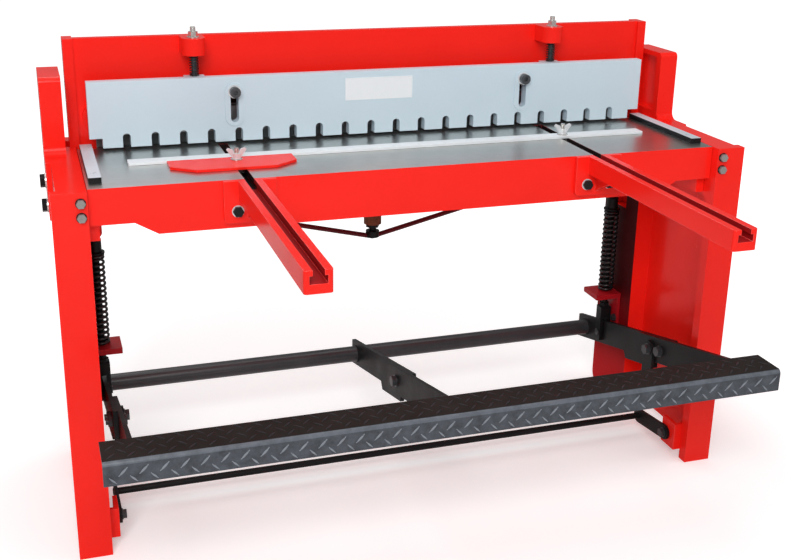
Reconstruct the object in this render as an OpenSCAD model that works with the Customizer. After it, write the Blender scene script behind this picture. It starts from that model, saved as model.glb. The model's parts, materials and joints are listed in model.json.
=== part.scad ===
// Foot-operated guillotine shear for sheet metal, in millimetres.
// X runs along the cut, Y from the operator to the rear, Z up from the floor.
// The origin is on the floor, at the middle of the machine's length and depth.

/* [Bed] */
// Longest sheet edge that the machine cuts
cut_l = 1320; // [1100:10:1600]
// Clear room from the end of the cut to a side frame
end_room = 48.5; // [46:0.5:70]
// Height of the table's working face above the floor
table_h = 817; // [800:1:900]
// Depth of the table from its apron to the cutting edge
table_d = 352; // [330:1:400]
// Height of the apron at the middle of the table
apron_h = 103; // [95:1:115]
// How much shallower the apron is at its two ends
apron_step = 27; // [10:1:35]
// Thickness of the apron and of the ribs under the table
table_rib_t = 20; // [14:1:24]
// Setback of the apron behind the front of the side frames
apron_set = 23; // [15:1:30]

/* [T-slots] */
// Width of the T-slot's mouth
slot_w = 20; // [16:1:22]
// Thickness of the lips beside the mouth
slot_lip = 10; // [8:1:12]
// Width of the T-slot's chamber
chamber_w = 31; // [28:1:34]
// Height of the T-slot's chamber
chamber_h = 14; // [12:1:16]
// Thickness of the metal under the chamber
slot_floor = 17; // [10:1:20]
// Width of a support arm
arm_w = 50; // [46:1:60]
// Length of a support arm in front of the apron
arm_l = 568; // [450:1:700]
// Middle of the left support arm from the middle of the machine
left_arm_off = 385; // [330:1:470]
// Middle of the right support arm from the middle of the machine
right_arm_off = 408; // [330:1:470]

/* [Side frames] */
// Thickness of a side frame across its post
frame_t = 70; // [64:1:80]
// Depth of the front post, front to rear
post_d = 27; // [22:1:32]
// Depth of the hollow on the inner side of a side frame
hollow_d = 47; // [42:1:50]
// Thickness of the web between the post and the column
web_t = 12; // [8:1:14]
// Depth of the rear column, front to rear
column_d = 174; // [165:1:190]
// Height of the upright above the table
upright_h = 170; // [150:1:190]
// Depth of the upright, front to rear
upright_d = 155; // [140:1:165]
// Rise of the arch between the two feet
arch_r = 30; // [20:1:50]

/* [Ram] */
// Top of the ram above the table
ram_rise = 241; // [225:1:260]
// Thickness of the ram's web
ram_t = 20; // [16:1:24]
// How far the ram's web reaches below the table's face
ram_drop = 117; // [105:1:125]
// Thickness of the upper blade
upper_blade_t = 22.7; // [18:0.1:26]
// Height of the upper blade at its deep end
upper_blade_h = 70; // [60:1:75]
// Rise of the upper blade's edge from one end to the other
rake_rise = 16; // [8:1:18]
// Thickness of the lower blade
lower_blade_t = 15; // [12:1:18]
// Height of the lower blade
lower_blade_h = 50; // [40:1:60]

/* [Hold-down] */
// Height of the hold-down plate
hold_h = 148; // [140:1:155]
// Thickness of the hold-down plate
hold_t = 25; // [20:1:28]
// Gap for the sheet under the hold-down plate
hold_open = 7; // [5:0.5:9]
// Length of the plate past each end of the cut
hold_over = 20; // [10:1:24]
// Spacing of the sight notches along the plate's lower edge
notch_pitch = 63.1; // [50:0.1:90]
// Width of a sight notch
notch_w = 17.5; // [12:0.5:22]
// Height of a sight notch
notch_h = 31; // [20:1:36]
// Guide slots and screws from the middle of the machine
guide_off = 356; // [300:1:385]
// Spring bolts from the middle of the machine
bolt_off = 440; // [420:1:520]
// Outside diameter of a hold-down spring
hold_spring_d = 22; // [20:0.5:26]
// Wire of a hold-down spring
hold_wire = 3; // [2.2:0.1:3.2]
// Turns of a hold-down spring
hold_turns = 6; // [4:1:6]

/* [Return springs] */
// Outside diameter of a return spring
spring_d = 42; // [38:0.5:44]
// Wire of a return spring
spring_wire = 5.5; // [4:0.1:6]
// Rise of a return spring's wire in one turn
spring_pitch = 12.9; // [12:0.1:18]
// Height of the spring bracket's seat above the pivot shaft
seat_rise = 144; // [135:1:155]
// Diameter of a tie rod
rod_d = 17; // [14:0.5:18]

/* [Treadle] */
// Distance from the pivot shaft to the tie rods
lever_l = 84; // [80:1:95]
// Height of the pivot shaft above the floor
shaft_z = 175; // [165:1:185]
// Diameter of the pivot shaft
shaft_d = 42; // [36:1:46]
// Height of a treadle arm's plate
lever_h = 66; // [56:1:72]
// Thickness of a treadle arm's plate
lever_t = 10; // [8:0.5:10]
// Rise of the treadle arms towards the operator, in degrees
lever_tilt = 13.5; // [12:0.1:15]
// Length of the foot board past each side frame's inner face
board_over = 21.5; // [12:0.5:50]
// Depth of the foot board's tread
board_d = 85; // [70:1:110]
// Height of the foot board's front
board_h = 50; // [40:1:60]
// Thickness of the foot board's plate
board_t = 6; // [4:0.5:8]
// Front of the foot board in front of the side frames
board_reach = 290; // [260:1:320]

/* [Gauges] */
// Width of a side gauge
side_gauge_w = 26; // [20:1:30]
// Thickness of a side gauge
side_gauge_t = 12; // [8:1:15]
// Length of a side gauge
side_gauge_l = 292; // [240:1:296]
// How much shorter than the cut the front gauge bar is at its left end
bar_left_in = 49; // [20:1:80]
// How much shorter than the cut the front gauge bar is at its right end
bar_right_in = 45; // [20:1:80]
// Width of the front gauge bar
bar_w = 34; // [30:1:40]
// Thickness of the front gauge bar
bar_t = 6; // [5:0.5:10]
// Length of the stop plate
stop_l = 272; // [220:1:300]
// Depth of the stop plate
stop_d = 90; // [70:1:100]

/* [Hidden] */
$fn = 48;

// Clearances
fit_gap = 0.1;
run_gap = 0.08;
slide_gap = 0.3;
blade_gap = 0.3;
cut = 1;

// Places across the machine
bay = cut_l / 2 + end_room;
frame_out = bay + frame_t;
table_gap = 1.5;
table_end = bay - table_gap;
web_x = bay + hollow_d;
web_out = web_x + web_t;
channel_in = 23.5;
upright_x = bay + channel_in;
rod_in = 27.5;
rod_x = bay - rod_in;

// Places from front to rear
rod_back = 18;
lever_tail = 45;
arm_reach = arm_l - apron_set;
tail_reach = apron_set + table_d + blade_gap + upper_blade_t + rod_back + lever_l + lever_tail;
face_y = (arm_reach - tail_reach) / 2;
apron_y = face_y + apron_set;
cut_y = apron_y + table_d;
column_lead = 47;
column_y = cut_y - column_lead;
rear_y = column_y + column_d;
hold_gap = 23;
hold_back = cut_y - hold_gap;
hold_y = hold_back - hold_t;
ram_y = cut_y + blade_gap + upper_blade_t;
ram_back = ram_y + ram_t;
rod_y = ram_y + rod_back;
shaft_y = rod_y + lever_l;
arm_front = apron_y - arm_l;

// Heights
apron_z = table_h - apron_h;
frame_head = 119;
hollow_z = table_h - frame_head;
upright_z = table_h + upright_h;
ram_z = table_h + ram_rise;
ram_foot = table_h - ram_drop;
hold_z = table_h + hold_open;
hold_top = hold_z + hold_h;
rod_lug_h = 105;
rod_lug_z = ram_foot - rod_lug_h;
collar_drop = 43;
collar_z = rod_lug_z - collar_drop;
seat_z = shaft_z + seat_rise;
spring_l = collar_z - seat_z;

// Small helpers: a block between two corners, and shapes drawn on a side or front face
module block(low, high) translate(low) cube(high - low);
module on_side(x, t) translate([x, 0, 0]) rotate([90, 0, 90]) linear_extrude(t) children();
module on_front(y, t) translate([0, y + t, 0]) rotate([90, 0, 0]) linear_extrude(t) children();
module bar_x(x, y, z, d, l) translate([x, y, z]) rotate([0, 90, 0]) cylinder(d = d, h = l);
module bar_y(x, y, z, d, l) translate([x, y + l, z]) rotate([90, 0, 0]) cylinder(d = d, h = l);
module bar_z(x, y, z, d, l) translate([x, y, z]) cylinder(d = d, h = l);
module to_front(p) translate(p) rotate([90, 0, 0]) children();
module to_rear(p) translate(p) rotate([-90, 0, 0]) children();
module to_right(p) translate(p) rotate([0, 90, 0]) children();
module to_left(p) translate(p) rotate([0, -90, 0]) children();
module both_sides() {
    children();
    mirror([1, 0, 0]) children();
}
module round_rect(low, high, r) {
    translate([low.x + r, low.y]) square([high.x - low.x - 2 * r, high.y - low.y]);
    translate([low.x, low.y + r]) square([high.x - low.x, high.y - low.y - 2 * r]);
    for (x = [low.x + r, high.x - r], y = [low.y + r, high.y - r]) translate([x, y]) circle(r);
}
module stadium(low, high, d) {
    for (y = [low, high]) translate([0, y]) circle(d = d);
    translate([-d / 2, low]) square([d, high - low]);
}

// A hexagon bolt with its washer: the head stands on +Z and the shank goes down
washer_t_share = 0.2;
washer_d_share = 2.1;
head_h_share = 0.65;
head_w_share = 1.9;
function washer_t(d) = washer_t_share * d;
function head_top(d) = (washer_t_share + head_h_share) * d;
module washer(d) cylinder(d = washer_d_share * d, h = washer_t(d));
module hex_head(d) translate([0, 0, washer_t(d)]) cylinder(d = head_w_share * d, h = head_h_share * d, $fn = 6);
module hex_bolt(d, l) {
    washer(d);
    hex_head(d);
    translate([0, 0, -l]) cylinder(d = d, h = l + washer_t(d));
}
// A socket cap screw sunk in a counterbore: its head is below Z = 0
cap_w_share = 1.6;
socket_w_share = 0.75;
function cap_d(d) = cap_w_share * d;
module cap_screw(d, l) difference() {
    union() {
        translate([0, 0, -d]) cylinder(d = cap_d(d), h = d);
        translate([0, 0, -l]) cylinder(d = d, h = l);
    }
    translate([0, 0, -d / 2]) cylinder(d = socket_w_share * d, h = d, $fn = 6);
}
module cap_hole(d, l) {
    translate([0, 0, -d - fit_gap]) cylinder(d = cap_d(d) + 2 * fit_gap, h = d + fit_gap + cut);
    translate([0, 0, -l - cut]) cylinder(d = d + 2 * fit_gap, h = l + cut);
}

// Bolts that hold the table between the side frames
post_bolt_d = 10;
post_bolt_in = 13.5;
post_bolt_x = bay + post_bolt_in;
post_bolt_drops = [21, 50];
side_bolt_d = 16;
side_bolt_back = 265;
side_bolt_y = apron_y + side_bolt_back;
side_bolt_drops = [47, 102];
side_bolt_l = frame_t + table_gap + table_rib_t - fit_gap;

// The table's lugs, which sit behind the front posts
lug_gap = 0.5;
lug_in = 34;
lug_drops = [7, 67];
lug_y = face_y + post_d + lug_gap;
lug_t = apron_y + table_rib_t - lug_y;
post_bolt_l = lug_y + lug_t - face_y - fit_gap;

// Side frame: post, web, column, head and upright are one casting
upright_lead = 8;
upright_y = column_y - upright_lead;
upright_r = 12;
fillet_r = 20;
foot_r = 40;
foot_d = 102;
hollow_r = 28;
pad_rise = 127;
pad_z = table_h - pad_rise;
pad_lead = 78;
pad_y = column_y - pad_lead;
pocket_wall = 20;
pocket_top = 12;
pocket_r = 8;
guide_drop = 257;
guide_z = table_h - guide_drop;
slide_lead = 8;
rib_front = ram_y - slide_lead;
rib_d = 50;
gib_t = 9.7;
channel_y = rib_front - slide_gap;
channel_back = rib_front + rib_d + slide_gap + gib_t;
slope_drop = 117;
upright_back = upright_y + upright_d;

module frame_outline() difference() {
    union() {
        translate([face_y, 0]) square([rear_y - foot_r - face_y, table_h]);
        translate([face_y, foot_r]) square([rear_y - face_y, table_h - foot_r]);
        translate([rear_y - foot_r, foot_r]) circle(foot_r);
        translate([upright_y, table_h / 2]) square([rear_y - upright_y, upright_z - upright_r - table_h / 2]);
        translate([upright_y + upright_r, table_h / 2])
            square([upright_back - 2 * upright_r - upright_y, upright_z - table_h / 2]);
        for (y = [upright_y + upright_r, upright_back - upright_r])
            translate([y, upright_z - upright_r]) circle(upright_r);
        difference() {
            translate([upright_y - fillet_r, table_h]) square(fillet_r);
            translate([upright_y - fillet_r, table_h + fillet_r]) circle(fillet_r);
        }
    }
    // The rear edge leans forward above the table's blade beam
    polygon([
        [rear_y, table_h - slope_drop], [rear_y + cut, table_h - slope_drop],
        [rear_y + cut, upright_z + cut], [upright_back, upright_z + cut],
        [upright_back, upright_z - upright_r]
    ]);
    translate([face_y + post_d, -cut]) square([rear_y - foot_d - arch_r - face_y - post_d, arch_r + cut]);
    translate([rear_y - foot_d - arch_r, 0]) circle(arch_r);
}

module inner_hollow_outline() {
    low_y = face_y + post_d;
    round_rect([low_y, arch_r], [column_y, hollow_z], hollow_r);
    translate([low_y, -cut]) square([column_y - low_y, arch_r + hollow_r + cut]);
}

module side_frame() color("red") difference() {
    on_side(bay, frame_t) frame_outline();
    on_side(bay - cut, hollow_d + cut) inner_hollow_outline();
    // The outside is set back behind the post, up to the pad that takes the side bolts
    block([web_out, face_y + post_d, -cut], [frame_out + cut, rear_y + cut, pad_z]);
    block([web_out, face_y + post_d, pad_z - cut], [frame_out + cut, pad_y, table_h + cut]);
    block([web_out, upright_back, pad_z - cut], [frame_out + cut, rear_y + cut, upright_z]);
    // The upright is narrower than the head below it, with a pocket on its inner side
    block([bay - cut, upright_y - fillet_r - cut, table_h], [upright_x, rear_y + cut, upright_z + cut]);
    on_side(upright_x - cut, web_x - upright_x + cut)
        round_rect([upright_y + pocket_wall, table_h + fillet_r],
            [upright_back - pocket_wall, upright_z - pocket_top], pocket_r);
    // Guideway of the ram and its gib
    block([bay - cut, channel_y, guide_z], [upright_x, channel_back, table_h + cut]);
    // Room for the table's lug behind the post
    block([bay - cut, face_y + post_d, table_h - lug_drops[1] - lug_gap],
        [bay + lug_in + lug_gap, lug_y + lug_t + lug_gap, table_h - lug_drops[0] + lug_gap]);
    for (drop = post_bolt_drops)
        bar_y(post_bolt_x, face_y - cut, table_h - drop, post_bolt_d + 2 * fit_gap, post_d + 2 * cut);
    for (drop = side_bolt_drops)
        bar_x(bay - cut, side_bolt_y, table_h - drop, side_bolt_d + 2 * fit_gap, frame_t + 2 * cut);
    for (y = bracket_bolt_ys)
        bar_x(bay - cut, y, bracket_bolt_z, bracket_bolt_d + 2 * fit_gap, bracket_bolt_in + cut);
    for (z = pivot_bolt_zs)
        bar_x(bay - cut, pivot_bolt_y, z, pivot_bolt_d + 2 * fit_gap, pivot_bolt_in + cut);
    for (z = angle_bolt_zs)
        bar_y(angle_bolt_x, face_y + post_d - angle_bolt_in, z, angle_bolt_d + 2 * fit_gap, angle_bolt_in + cut);
    for (z = gib_screw_zs)
        bar_y(gib_x, channel_back - cut, z, gib_screw_d + 2 * fit_gap, rear_y - channel_back + 2 * cut);
}

module left_side_frame() mirror([1, 0, 0]) side_frame();
module right_side_frame() side_frame();

// Table: ground top on an apron, end ribs, slot housings and the blade beam
beam_t = 25;
beam_y = cut_y - lower_blade_t - beam_t;
table_back = beam_y + beam_t;
beam_h = 117;
end_rib_h = 114;
mid_rib_h = 90;
slope_in = 135;
slope_x = table_end - slope_in;
slope_w = 47;
table_t = slot_lip + chamber_h;
housing_h = table_t + slot_floor;
arm_xs = [-left_arm_off, right_arm_off];

module apron_outline() {
    end_z = apron_z + apron_step;
    polygon([
        [-table_end, table_h], [-table_end, end_z], [-slope_x - slope_w, end_z],
        [-slope_x, apron_z], [slope_x, apron_z], [slope_x + slope_w, end_z],
        [table_end, end_z], [table_end, table_h]
    ]);
}

// The space that a T-bolt's neck and head run in
module t_slot(x, y0, y1) {
    block([x - slot_w / 2, y0, table_h - slot_lip - cut], [x + slot_w / 2, y1, table_h + cut]);
    block([x - chamber_w / 2, y0, table_h - slot_lip - chamber_h], [x + chamber_w / 2, y1, table_h - slot_lip]);
}

// The table is cast in one piece. Its top, apron, ribs and blade beam are drawn one by one.
module table_top_space(over) block([-table_end, apron_y, table_h - table_t], [table_end, beam_y, table_h + over]);
module work_table() color("lightslategray") difference() {
    table_top_space(0);
    for (x = arm_xs) t_slot(x, apron_y - cut, beam_y + cut);
    both_sides() for (y = gauge_screw_ys)
        bar_z(gauge_x, y, table_h - gauge_screw_in, gauge_screw_d + 2 * fit_gap, gauge_screw_in + cut);
}

module table_apron() color("slategray") difference() {
    union() {
        on_front(apron_y, table_rib_t) apron_outline();
        both_sides()
            block([table_end - cut, lug_y, table_h - lug_drops[1]], [bay + lug_in, lug_y + lug_t, table_h - lug_drops[0]]);
    }
    table_top_space(cut);
    both_sides() for (drop = post_bolt_drops)
        bar_y(post_bolt_x, lug_y - cut, table_h - drop, post_bolt_d + 2 * fit_gap, lug_t + 2 * cut);
    for (x = arm_bolt_xs)
        bar_y(x, apron_y - cut, arm_bolt_z, arm_bolt_d + 2 * fit_gap, table_rib_t + 2 * cut);
}

// Ribs from the apron to the beam, and the floors of the two T-slots
module table_rib(x0, x1, h) block([x0, apron_y + table_rib_t, table_h - h], [x1, beam_y, table_h - table_t]);
module table_ribs() color("lightslategray") {
    both_sides() difference() {
        table_rib(table_end - table_rib_t, table_end, end_rib_h);
        for (drop = side_bolt_drops)
            bar_x(table_end - table_rib_t - cut, side_bolt_y, table_h - drop,
                side_bolt_d + 2 * fit_gap, table_rib_t + 2 * cut);
    }
    table_rib(-table_rib_t / 2, table_rib_t / 2, mid_rib_h);
    for (x = arm_xs) table_rib(x - arm_w / 2, x + arm_w / 2, housing_h);
}

module table_beam() color("slategray") difference() {
    block([-table_end, beam_y, table_h - beam_h], [table_end, table_back, table_h]);
    for (x = lower_screw_xs)
        bar_y(x, table_back - blade_screw_in, lower_screw_z, blade_screw_d + 2 * fit_gap, blade_screw_in + cut);
}

module table_post_bolts() color("gray") both_sides() for (drop = post_bolt_drops)
    to_front([post_bolt_x, face_y, table_h - drop]) hex_bolt(post_bolt_d, post_bolt_l);

module table_side_bolts() color("dimgray") both_sides() for (drop = side_bolt_drops)
    to_right([frame_out, side_bolt_y, table_h - drop]) hex_bolt(side_bolt_d, side_bolt_l);

// Blades
blade_over = 2;
blade_half = cut_l / 2 + blade_over;
blade_screw_d = 10;
blade_screw_in = 18;
blade_screw_end = 60;
blade_screw_n = 9;
blade_screw_pitch = (2 * blade_half - 2 * blade_screw_end) / (blade_screw_n - 1);
lower_screw_xs = [for (i = [0 : blade_screw_n - 1]) -blade_half + blade_screw_end + i * blade_screw_pitch];
lower_screw_z = table_h - lower_blade_h / 2;
upper_lift = 9;
upper_low = table_h + upper_lift;
upper_high = upper_low + upper_blade_h;
upper_screw_z = upper_high - (upper_blade_h - rake_rise) / 2;

module lower_blade() color("silver") difference() {
    block([-blade_half, table_back, table_h - lower_blade_h], [blade_half, cut_y, table_h]);
    for (x = lower_screw_xs)
        to_rear([x, cut_y, lower_screw_z]) cap_hole(blade_screw_d, lower_blade_t);
}

module lower_blade_screws() color("dimgray") for (x = lower_screw_xs)
    to_rear([x, cut_y - fit_gap, lower_screw_z]) cap_screw(blade_screw_d, lower_blade_t + blade_screw_in - 2 * fit_gap);

module upper_blade() color("silver") difference() {
    on_front(cut_y + blade_gap, upper_blade_t) polygon([
        [-blade_half, upper_low + rake_rise], [blade_half, upper_low],
        [blade_half, upper_high], [-blade_half, upper_high]
    ]);
    for (x = lower_screw_xs)
        to_front([x, cut_y + blade_gap, upper_screw_z]) cap_hole(blade_screw_d, upper_blade_t);
}

module upper_blade_screws() color("dimgray") for (x = lower_screw_xs)
    to_front([x, cut_y + blade_gap + fit_gap, upper_screw_z])
        cap_screw(blade_screw_d, upper_blade_t + ram_t / 2 - fit_gap);

// Side gauges: square bars along the two ends of the table
gauge_end_gap = 7;
gauge_x = bay - gauge_end_gap - side_gauge_w / 2;
gauge_back_gap = 4;
gauge_back = table_back - gauge_back_gap;
gauge_front = gauge_back - side_gauge_l;
gauge_screw_d = 8;
gauge_screw_in = 14;
gauge_screw_end = 36;
gauge_screw_ys = [gauge_front + gauge_screw_end, gauge_back - gauge_screw_end];

module side_gauge() color("lightgray") difference() {
    block([gauge_x - side_gauge_w / 2, gauge_front, table_h],
        [gauge_x + side_gauge_w / 2, gauge_back, table_h + side_gauge_t]);
    for (y = gauge_screw_ys)
        translate([gauge_x, y, table_h + side_gauge_t]) cap_hole(gauge_screw_d, side_gauge_t);
}
module left_side_gauge() mirror([1, 0, 0]) side_gauge();
module right_side_gauge() side_gauge();
module side_gauge_screws() color("dimgray") both_sides() for (y = gauge_screw_ys)
    translate([gauge_x, y, table_h + side_gauge_t - fit_gap])
        cap_screw(gauge_screw_d, side_gauge_t + gauge_screw_in - 2 * fit_gap);

// Support arms: slotted castings whose flange is bolted to the apron
flange_w = 110;
flange_t = 12;
flange_h = 90;
flange_r = 10;
arm_r = 6;
arm_bolt_d = 12;
arm_bolt_apart = 27;
arm_bolt_drop = 64;
arm_bolt_z = table_h - arm_bolt_drop;
arm_bolt_xs = [for (x = arm_xs, s = [-1, 1]) x + s * arm_bolt_apart];

module support_arm(x) color("red") difference() {
    union() {
        translate([x, 0, table_h - housing_h]) linear_extrude(housing_h)
            round_rect([-arm_w / 2, arm_front], [arm_w / 2, apron_y], arm_r);
        block([x - arm_w / 2, apron_y - arm_w, table_h - housing_h], [x + arm_w / 2, apron_y, table_h]);
        translate([x, 0, 0]) on_front(apron_y - flange_t, flange_t) {
            round_rect([-flange_w / 2, table_h - flange_h], [flange_w / 2, table_h], flange_r);
            translate([-flange_w / 2, table_h - 2 * flange_r]) square([flange_w, 2 * flange_r]);
        }
        // Gusset under the arm
        on_side(x - flange_t / 2, flange_t) polygon([
            [apron_y - flange_t, table_h - flange_h + flange_r], [apron_y - flange_t, table_h - housing_h],
            [apron_y - flange_h, table_h - housing_h]
        ]);
    }
    t_slot(x, arm_front - cut, apron_y + cut);
    for (s = [-1, 1])
        bar_y(x + s * arm_bolt_apart, apron_y - flange_t - cut, arm_bolt_z,
            arm_bolt_d + 2 * fit_gap, flange_t + 2 * cut);
}
module left_support_arm() support_arm(arm_xs[0]);
module right_support_arm() support_arm(arm_xs[1]);
module support_arm_bolts() color("dimgray") for (x = arm_bolt_xs)
    to_front([x, apron_y - flange_t, arm_bolt_z]) hex_bolt(arm_bolt_d, flange_t + table_rib_t - fit_gap);

// Gibs: strips that take up the play behind the ram's slides
gib_side_gap = 1.5;
gib_w = channel_in - 2 * gib_side_gap;
gib_x = bay + channel_in / 2;
gib_low = 40;
gib_z = guide_z + gib_low;
gib_top = table_h - gib_low / 2;
gib_screw_d = 10;
gib_screw_n = 3;
gib_screw_end = 30;
gib_screw_zs = [for (i = [0 : gib_screw_n - 1])
    gib_z + gib_screw_end + i * (gib_top - gib_z - 2 * gib_screw_end) / (gib_screw_n - 1)];

module guide_gibs() color("darkgoldenrod") both_sides()
    block([gib_x - gib_w / 2, channel_back - gib_t, gib_z], [gib_x + gib_w / 2, channel_back, gib_top]);
module gib_screws() color("dimgray") both_sides() for (z = gib_screw_zs)
    to_rear([gib_x, rear_y, z]) hex_bolt(gib_screw_d, rear_y - channel_back);

// Ram: a deep plate with ribs behind it and bosses in front
ram_end_gap = 8;
ram_half = table_end - ram_end_gap;
ram_rib_t = 15;
ram_rib_d = 34;
ram_rib_n = 5;
ram_rib_apart = 230;
ram_rib_top = 60;
ram_flange_t = 16;
boss_d = 52;
boss_h = 38;
bolt_fwd = 42;
bolt_y = ram_y - bolt_fwd;
hold_bolt_d = 12;
guide_boss_d = 36;
guide_screw_d = 14;
slot_wide = 18;
slot_top_in = 22;
slot_run = 64;
slot_high = hold_top - slot_top_in - slot_wide / 2;
slot_low = slot_high - slot_run;
guide_rest = 2.5;
guide_z0 = slot_high - guide_rest;
ram_pad_r = 33;
ram_pad_t = 10;
ram_pad_in = 43;
ram_pad_rise = 65;
truss_in = 114;
truss_x = ram_half - truss_in;
truss_drop = 24;
truss_block_drop = 26;
truss_block_w = 34;
truss_depth = 163;
truss_z = ram_foot - truss_depth;
truss_d = 12;
truss_end_z = ram_foot - truss_drop;
truss_len = norm([truss_x, truss_end_z - truss_z]);
truss_angle = atan2(truss_end_z - truss_z, truss_x);
truss_head_at = (truss_x + truss_block_w / 2) / cos(truss_angle) + truss_d * sin(truss_angle) + fit_gap;
truss_over = 34;
truss_boss_d = 44;
truss_boss_l = 128;
truss_screw_d = 18;
truss_y = ram_y + ram_t / 2;

// Drawn along the right half of the truss rod, from its lowest point
module along_truss() translate([0, truss_y, truss_z]) rotate([0, 90 - truss_angle, 0]) children();

module ram() color("red") difference() {
    union() {
        block([-ram_half, ram_y, ram_foot], [ram_half, ram_back, ram_z]);
        bar_z(0, truss_y, ram_foot - truss_boss_l, truss_boss_d, truss_boss_l);
        both_sides() {
            bar_z(bolt_off, bolt_y, ram_z - boss_h, boss_d, boss_h);
            block([bolt_off - boss_d / 2, bolt_y, ram_z - boss_h], [bolt_off + boss_d / 2, ram_y + cut, ram_z]);
            bar_y(guide_off, hold_back + slide_gap, guide_z0, guide_boss_d, ram_y - hold_back);
            block([truss_x - truss_block_w / 2, ram_y, truss_end_z - truss_block_drop],
                [truss_x + truss_block_w / 2, ram_back, ram_foot + cut]);
            // Round pad at the end of the blade's seat
            intersection() {
                bar_y(ram_half - ram_pad_in, ram_y - ram_pad_t, table_h + ram_pad_rise, 2 * ram_pad_r, ram_pad_t + cut);
                block([blade_half + fit_gap, ram_y - ram_pad_t, table_h], [ram_half, ram_back, ram_z]);
            }
        }
    }
    both_sides() {
        bar_z(bolt_off, bolt_y, ram_z - boss_h - cut, hold_bolt_d + 2 * run_gap, boss_h + 2 * cut);
        bar_y(guide_off, hold_back, guide_z0, guide_screw_d + 2 * fit_gap, ram_y - hold_back + ram_t / 2);
        along_truss() cylinder(d = truss_d + 2 * fit_gap, h = truss_len + truss_over);
        for (z = slide_bolt_zs)
            bar_y(slide_bolt_x, ram_y - cut, z, slide_bolt_d + 2 * fit_gap, ram_t + 2 * cut);
    }
    bar_z(0, truss_y, ram_foot - truss_boss_l - cut, truss_screw_d + 2 * fit_gap, truss_boss_l / 2 + cut);
    for (x = lower_screw_xs)
        bar_y(x, ram_y - cut, upper_screw_z, blade_screw_d + 2 * fit_gap, ram_t / 2 + cut);
}

// Behind the ram: a flange along its foot, and the ribs that stand on it
module ram_flange() color("firebrick")
    block([-ram_half + flange_side, ram_back, ram_foot],
        [ram_half - flange_side, ram_back + ram_rib_d, ram_foot + ram_flange_t]);
module ram_ribs() color("red") for (i = [0 : ram_rib_n - 1])
    on_side((i - (ram_rib_n - 1) / 2) * ram_rib_apart - ram_rib_t / 2, ram_rib_t) polygon([
        [ram_back, ram_foot + ram_flange_t], [ram_back + ram_rib_d, ram_foot + ram_flange_t],
        [ram_back + ram_rib_d, table_h], [ram_back, ram_z - ram_rib_top]
    ]);

// Ram slides: end castings that run in the guideways and carry the tie rods
flange_side = 62;
slide_flange_t = 16;
slide_top_in = 40;
slide_bolt_d = 12;
slide_bolt_in = 30;
slide_bolt_x = ram_half - slide_bolt_in;
slide_bolt_n = 3;
slide_bolt_end = 45;
slide_flange_low = 6;
slide_flange_z = ram_foot + slide_flange_low;
slide_flange_top = ram_z - slide_top_in;
slide_bolt_zs = [for (i = [0 : slide_bolt_n - 1]) slide_flange_z + slide_bolt_end
    + i * (slide_flange_top - slide_flange_z - 2 * slide_bolt_end) / (slide_bolt_n - 1)];
slide_end_gap = 11;
slide_end = bay + channel_in - slide_end_gap;
lug_w = 36;
lug_r = 12;
lug_d = 36;
rod_bite = 40;
rod_top = rod_lug_z + rod_bite;

module ram_slide() color("firebrick") difference() {
    union() {
        block([ram_half, rib_front, rod_lug_z + lug_r], [slide_end, rib_front + rib_d, ram_z]);
        block([ram_half - flange_side + fit_gap, ram_back, slide_flange_z],
            [ram_half + cut, ram_back + slide_flange_t, slide_flange_top]);
        // Lug for the tie rod, under the ram's corner
        on_front(rod_y - lug_d / 2, lug_d) {
            round_rect([rod_x - lug_w / 2, rod_lug_z], [slide_end - lug_r, ram_foot - fit_gap], lug_r);
            translate([rod_x, rod_lug_z + lug_r]) square([slide_end - rod_x, ram_foot - fit_gap - rod_lug_z - lug_r]);
        }
    }
    bar_z(rod_x, rod_y, rod_lug_z - cut, rod_d + 2 * fit_gap, rod_top - rod_lug_z + cut + fit_gap);
    for (z = slide_bolt_zs)
        bar_y(slide_bolt_x, ram_back - cut, z, slide_bolt_d + 2 * fit_gap, slide_flange_t + 2 * cut);
}
module left_ram_slide() mirror([1, 0, 0]) ram_slide();
module right_ram_slide() ram_slide();
module ram_slide_bolts() color("dimgray") both_sides() for (z = slide_bolt_zs)
    to_rear([slide_bolt_x, ram_back + slide_flange_t, z]) hex_bolt(slide_bolt_d, slide_flange_t + ram_t - fit_gap);

// Truss rod: it braces the ram from below, and the screw sets its bow
module truss_rod() color("firebrick") {
    translate([0, truss_y, truss_z]) sphere(d = truss_d);
    both_sides() {
        along_truss() cylinder(d = truss_d, h = truss_len + truss_over);
        along_truss() translate([0, 0, truss_head_at])
            cylinder(d = head_w_share * truss_d, h = head_h_share * truss_d, $fn = 6);
    }
}
truss_foot_d = 34;
truss_foot_h = 16;
truss_nut_h = 9;
module truss_screw() color("dimgray") difference() {
    union() {
        bar_z(0, truss_y, truss_z, truss_foot_d, truss_foot_h);
        bar_z(0, truss_y, truss_z + truss_d, truss_screw_d, ram_foot - truss_boss_l / 2 - truss_z - truss_d - fit_gap);
        translate([0, truss_y, ram_foot - truss_boss_l - truss_nut_h])
            cylinder(d = head_w_share * truss_screw_d, h = truss_nut_h, $fn = 6);
    }
    // Saddle that bears on the rod
    translate([0, truss_y, truss_z]) sphere(d = truss_d + 2 * fit_gap);
    both_sides() along_truss() cylinder(d = truss_d + 2 * fit_gap, h = truss_foot_d);
}

// Hold-down: a notched plate that hangs from two sprung bolts
hold_half = cut_l / 2 + hold_over;
notch_end = 70;
notch_n = floor((2 * hold_half - 2 * notch_end) / notch_pitch) + 1;
corner_w = 28;
corner_h = 22;
rim_w = 44;
rim_t = 2;
rim_over = 9;
hold_rib_t = 12;
hold_rib_end = 80;
hold_boss_w = 46;
hold_boss_h = 42;
hold_stud_in = 30;
hold_boss_d = 20;
hold_rib_d = 8;
hold_rib_z = guide_z0 + guide_boss_d / 2 + slide_gap;

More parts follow.
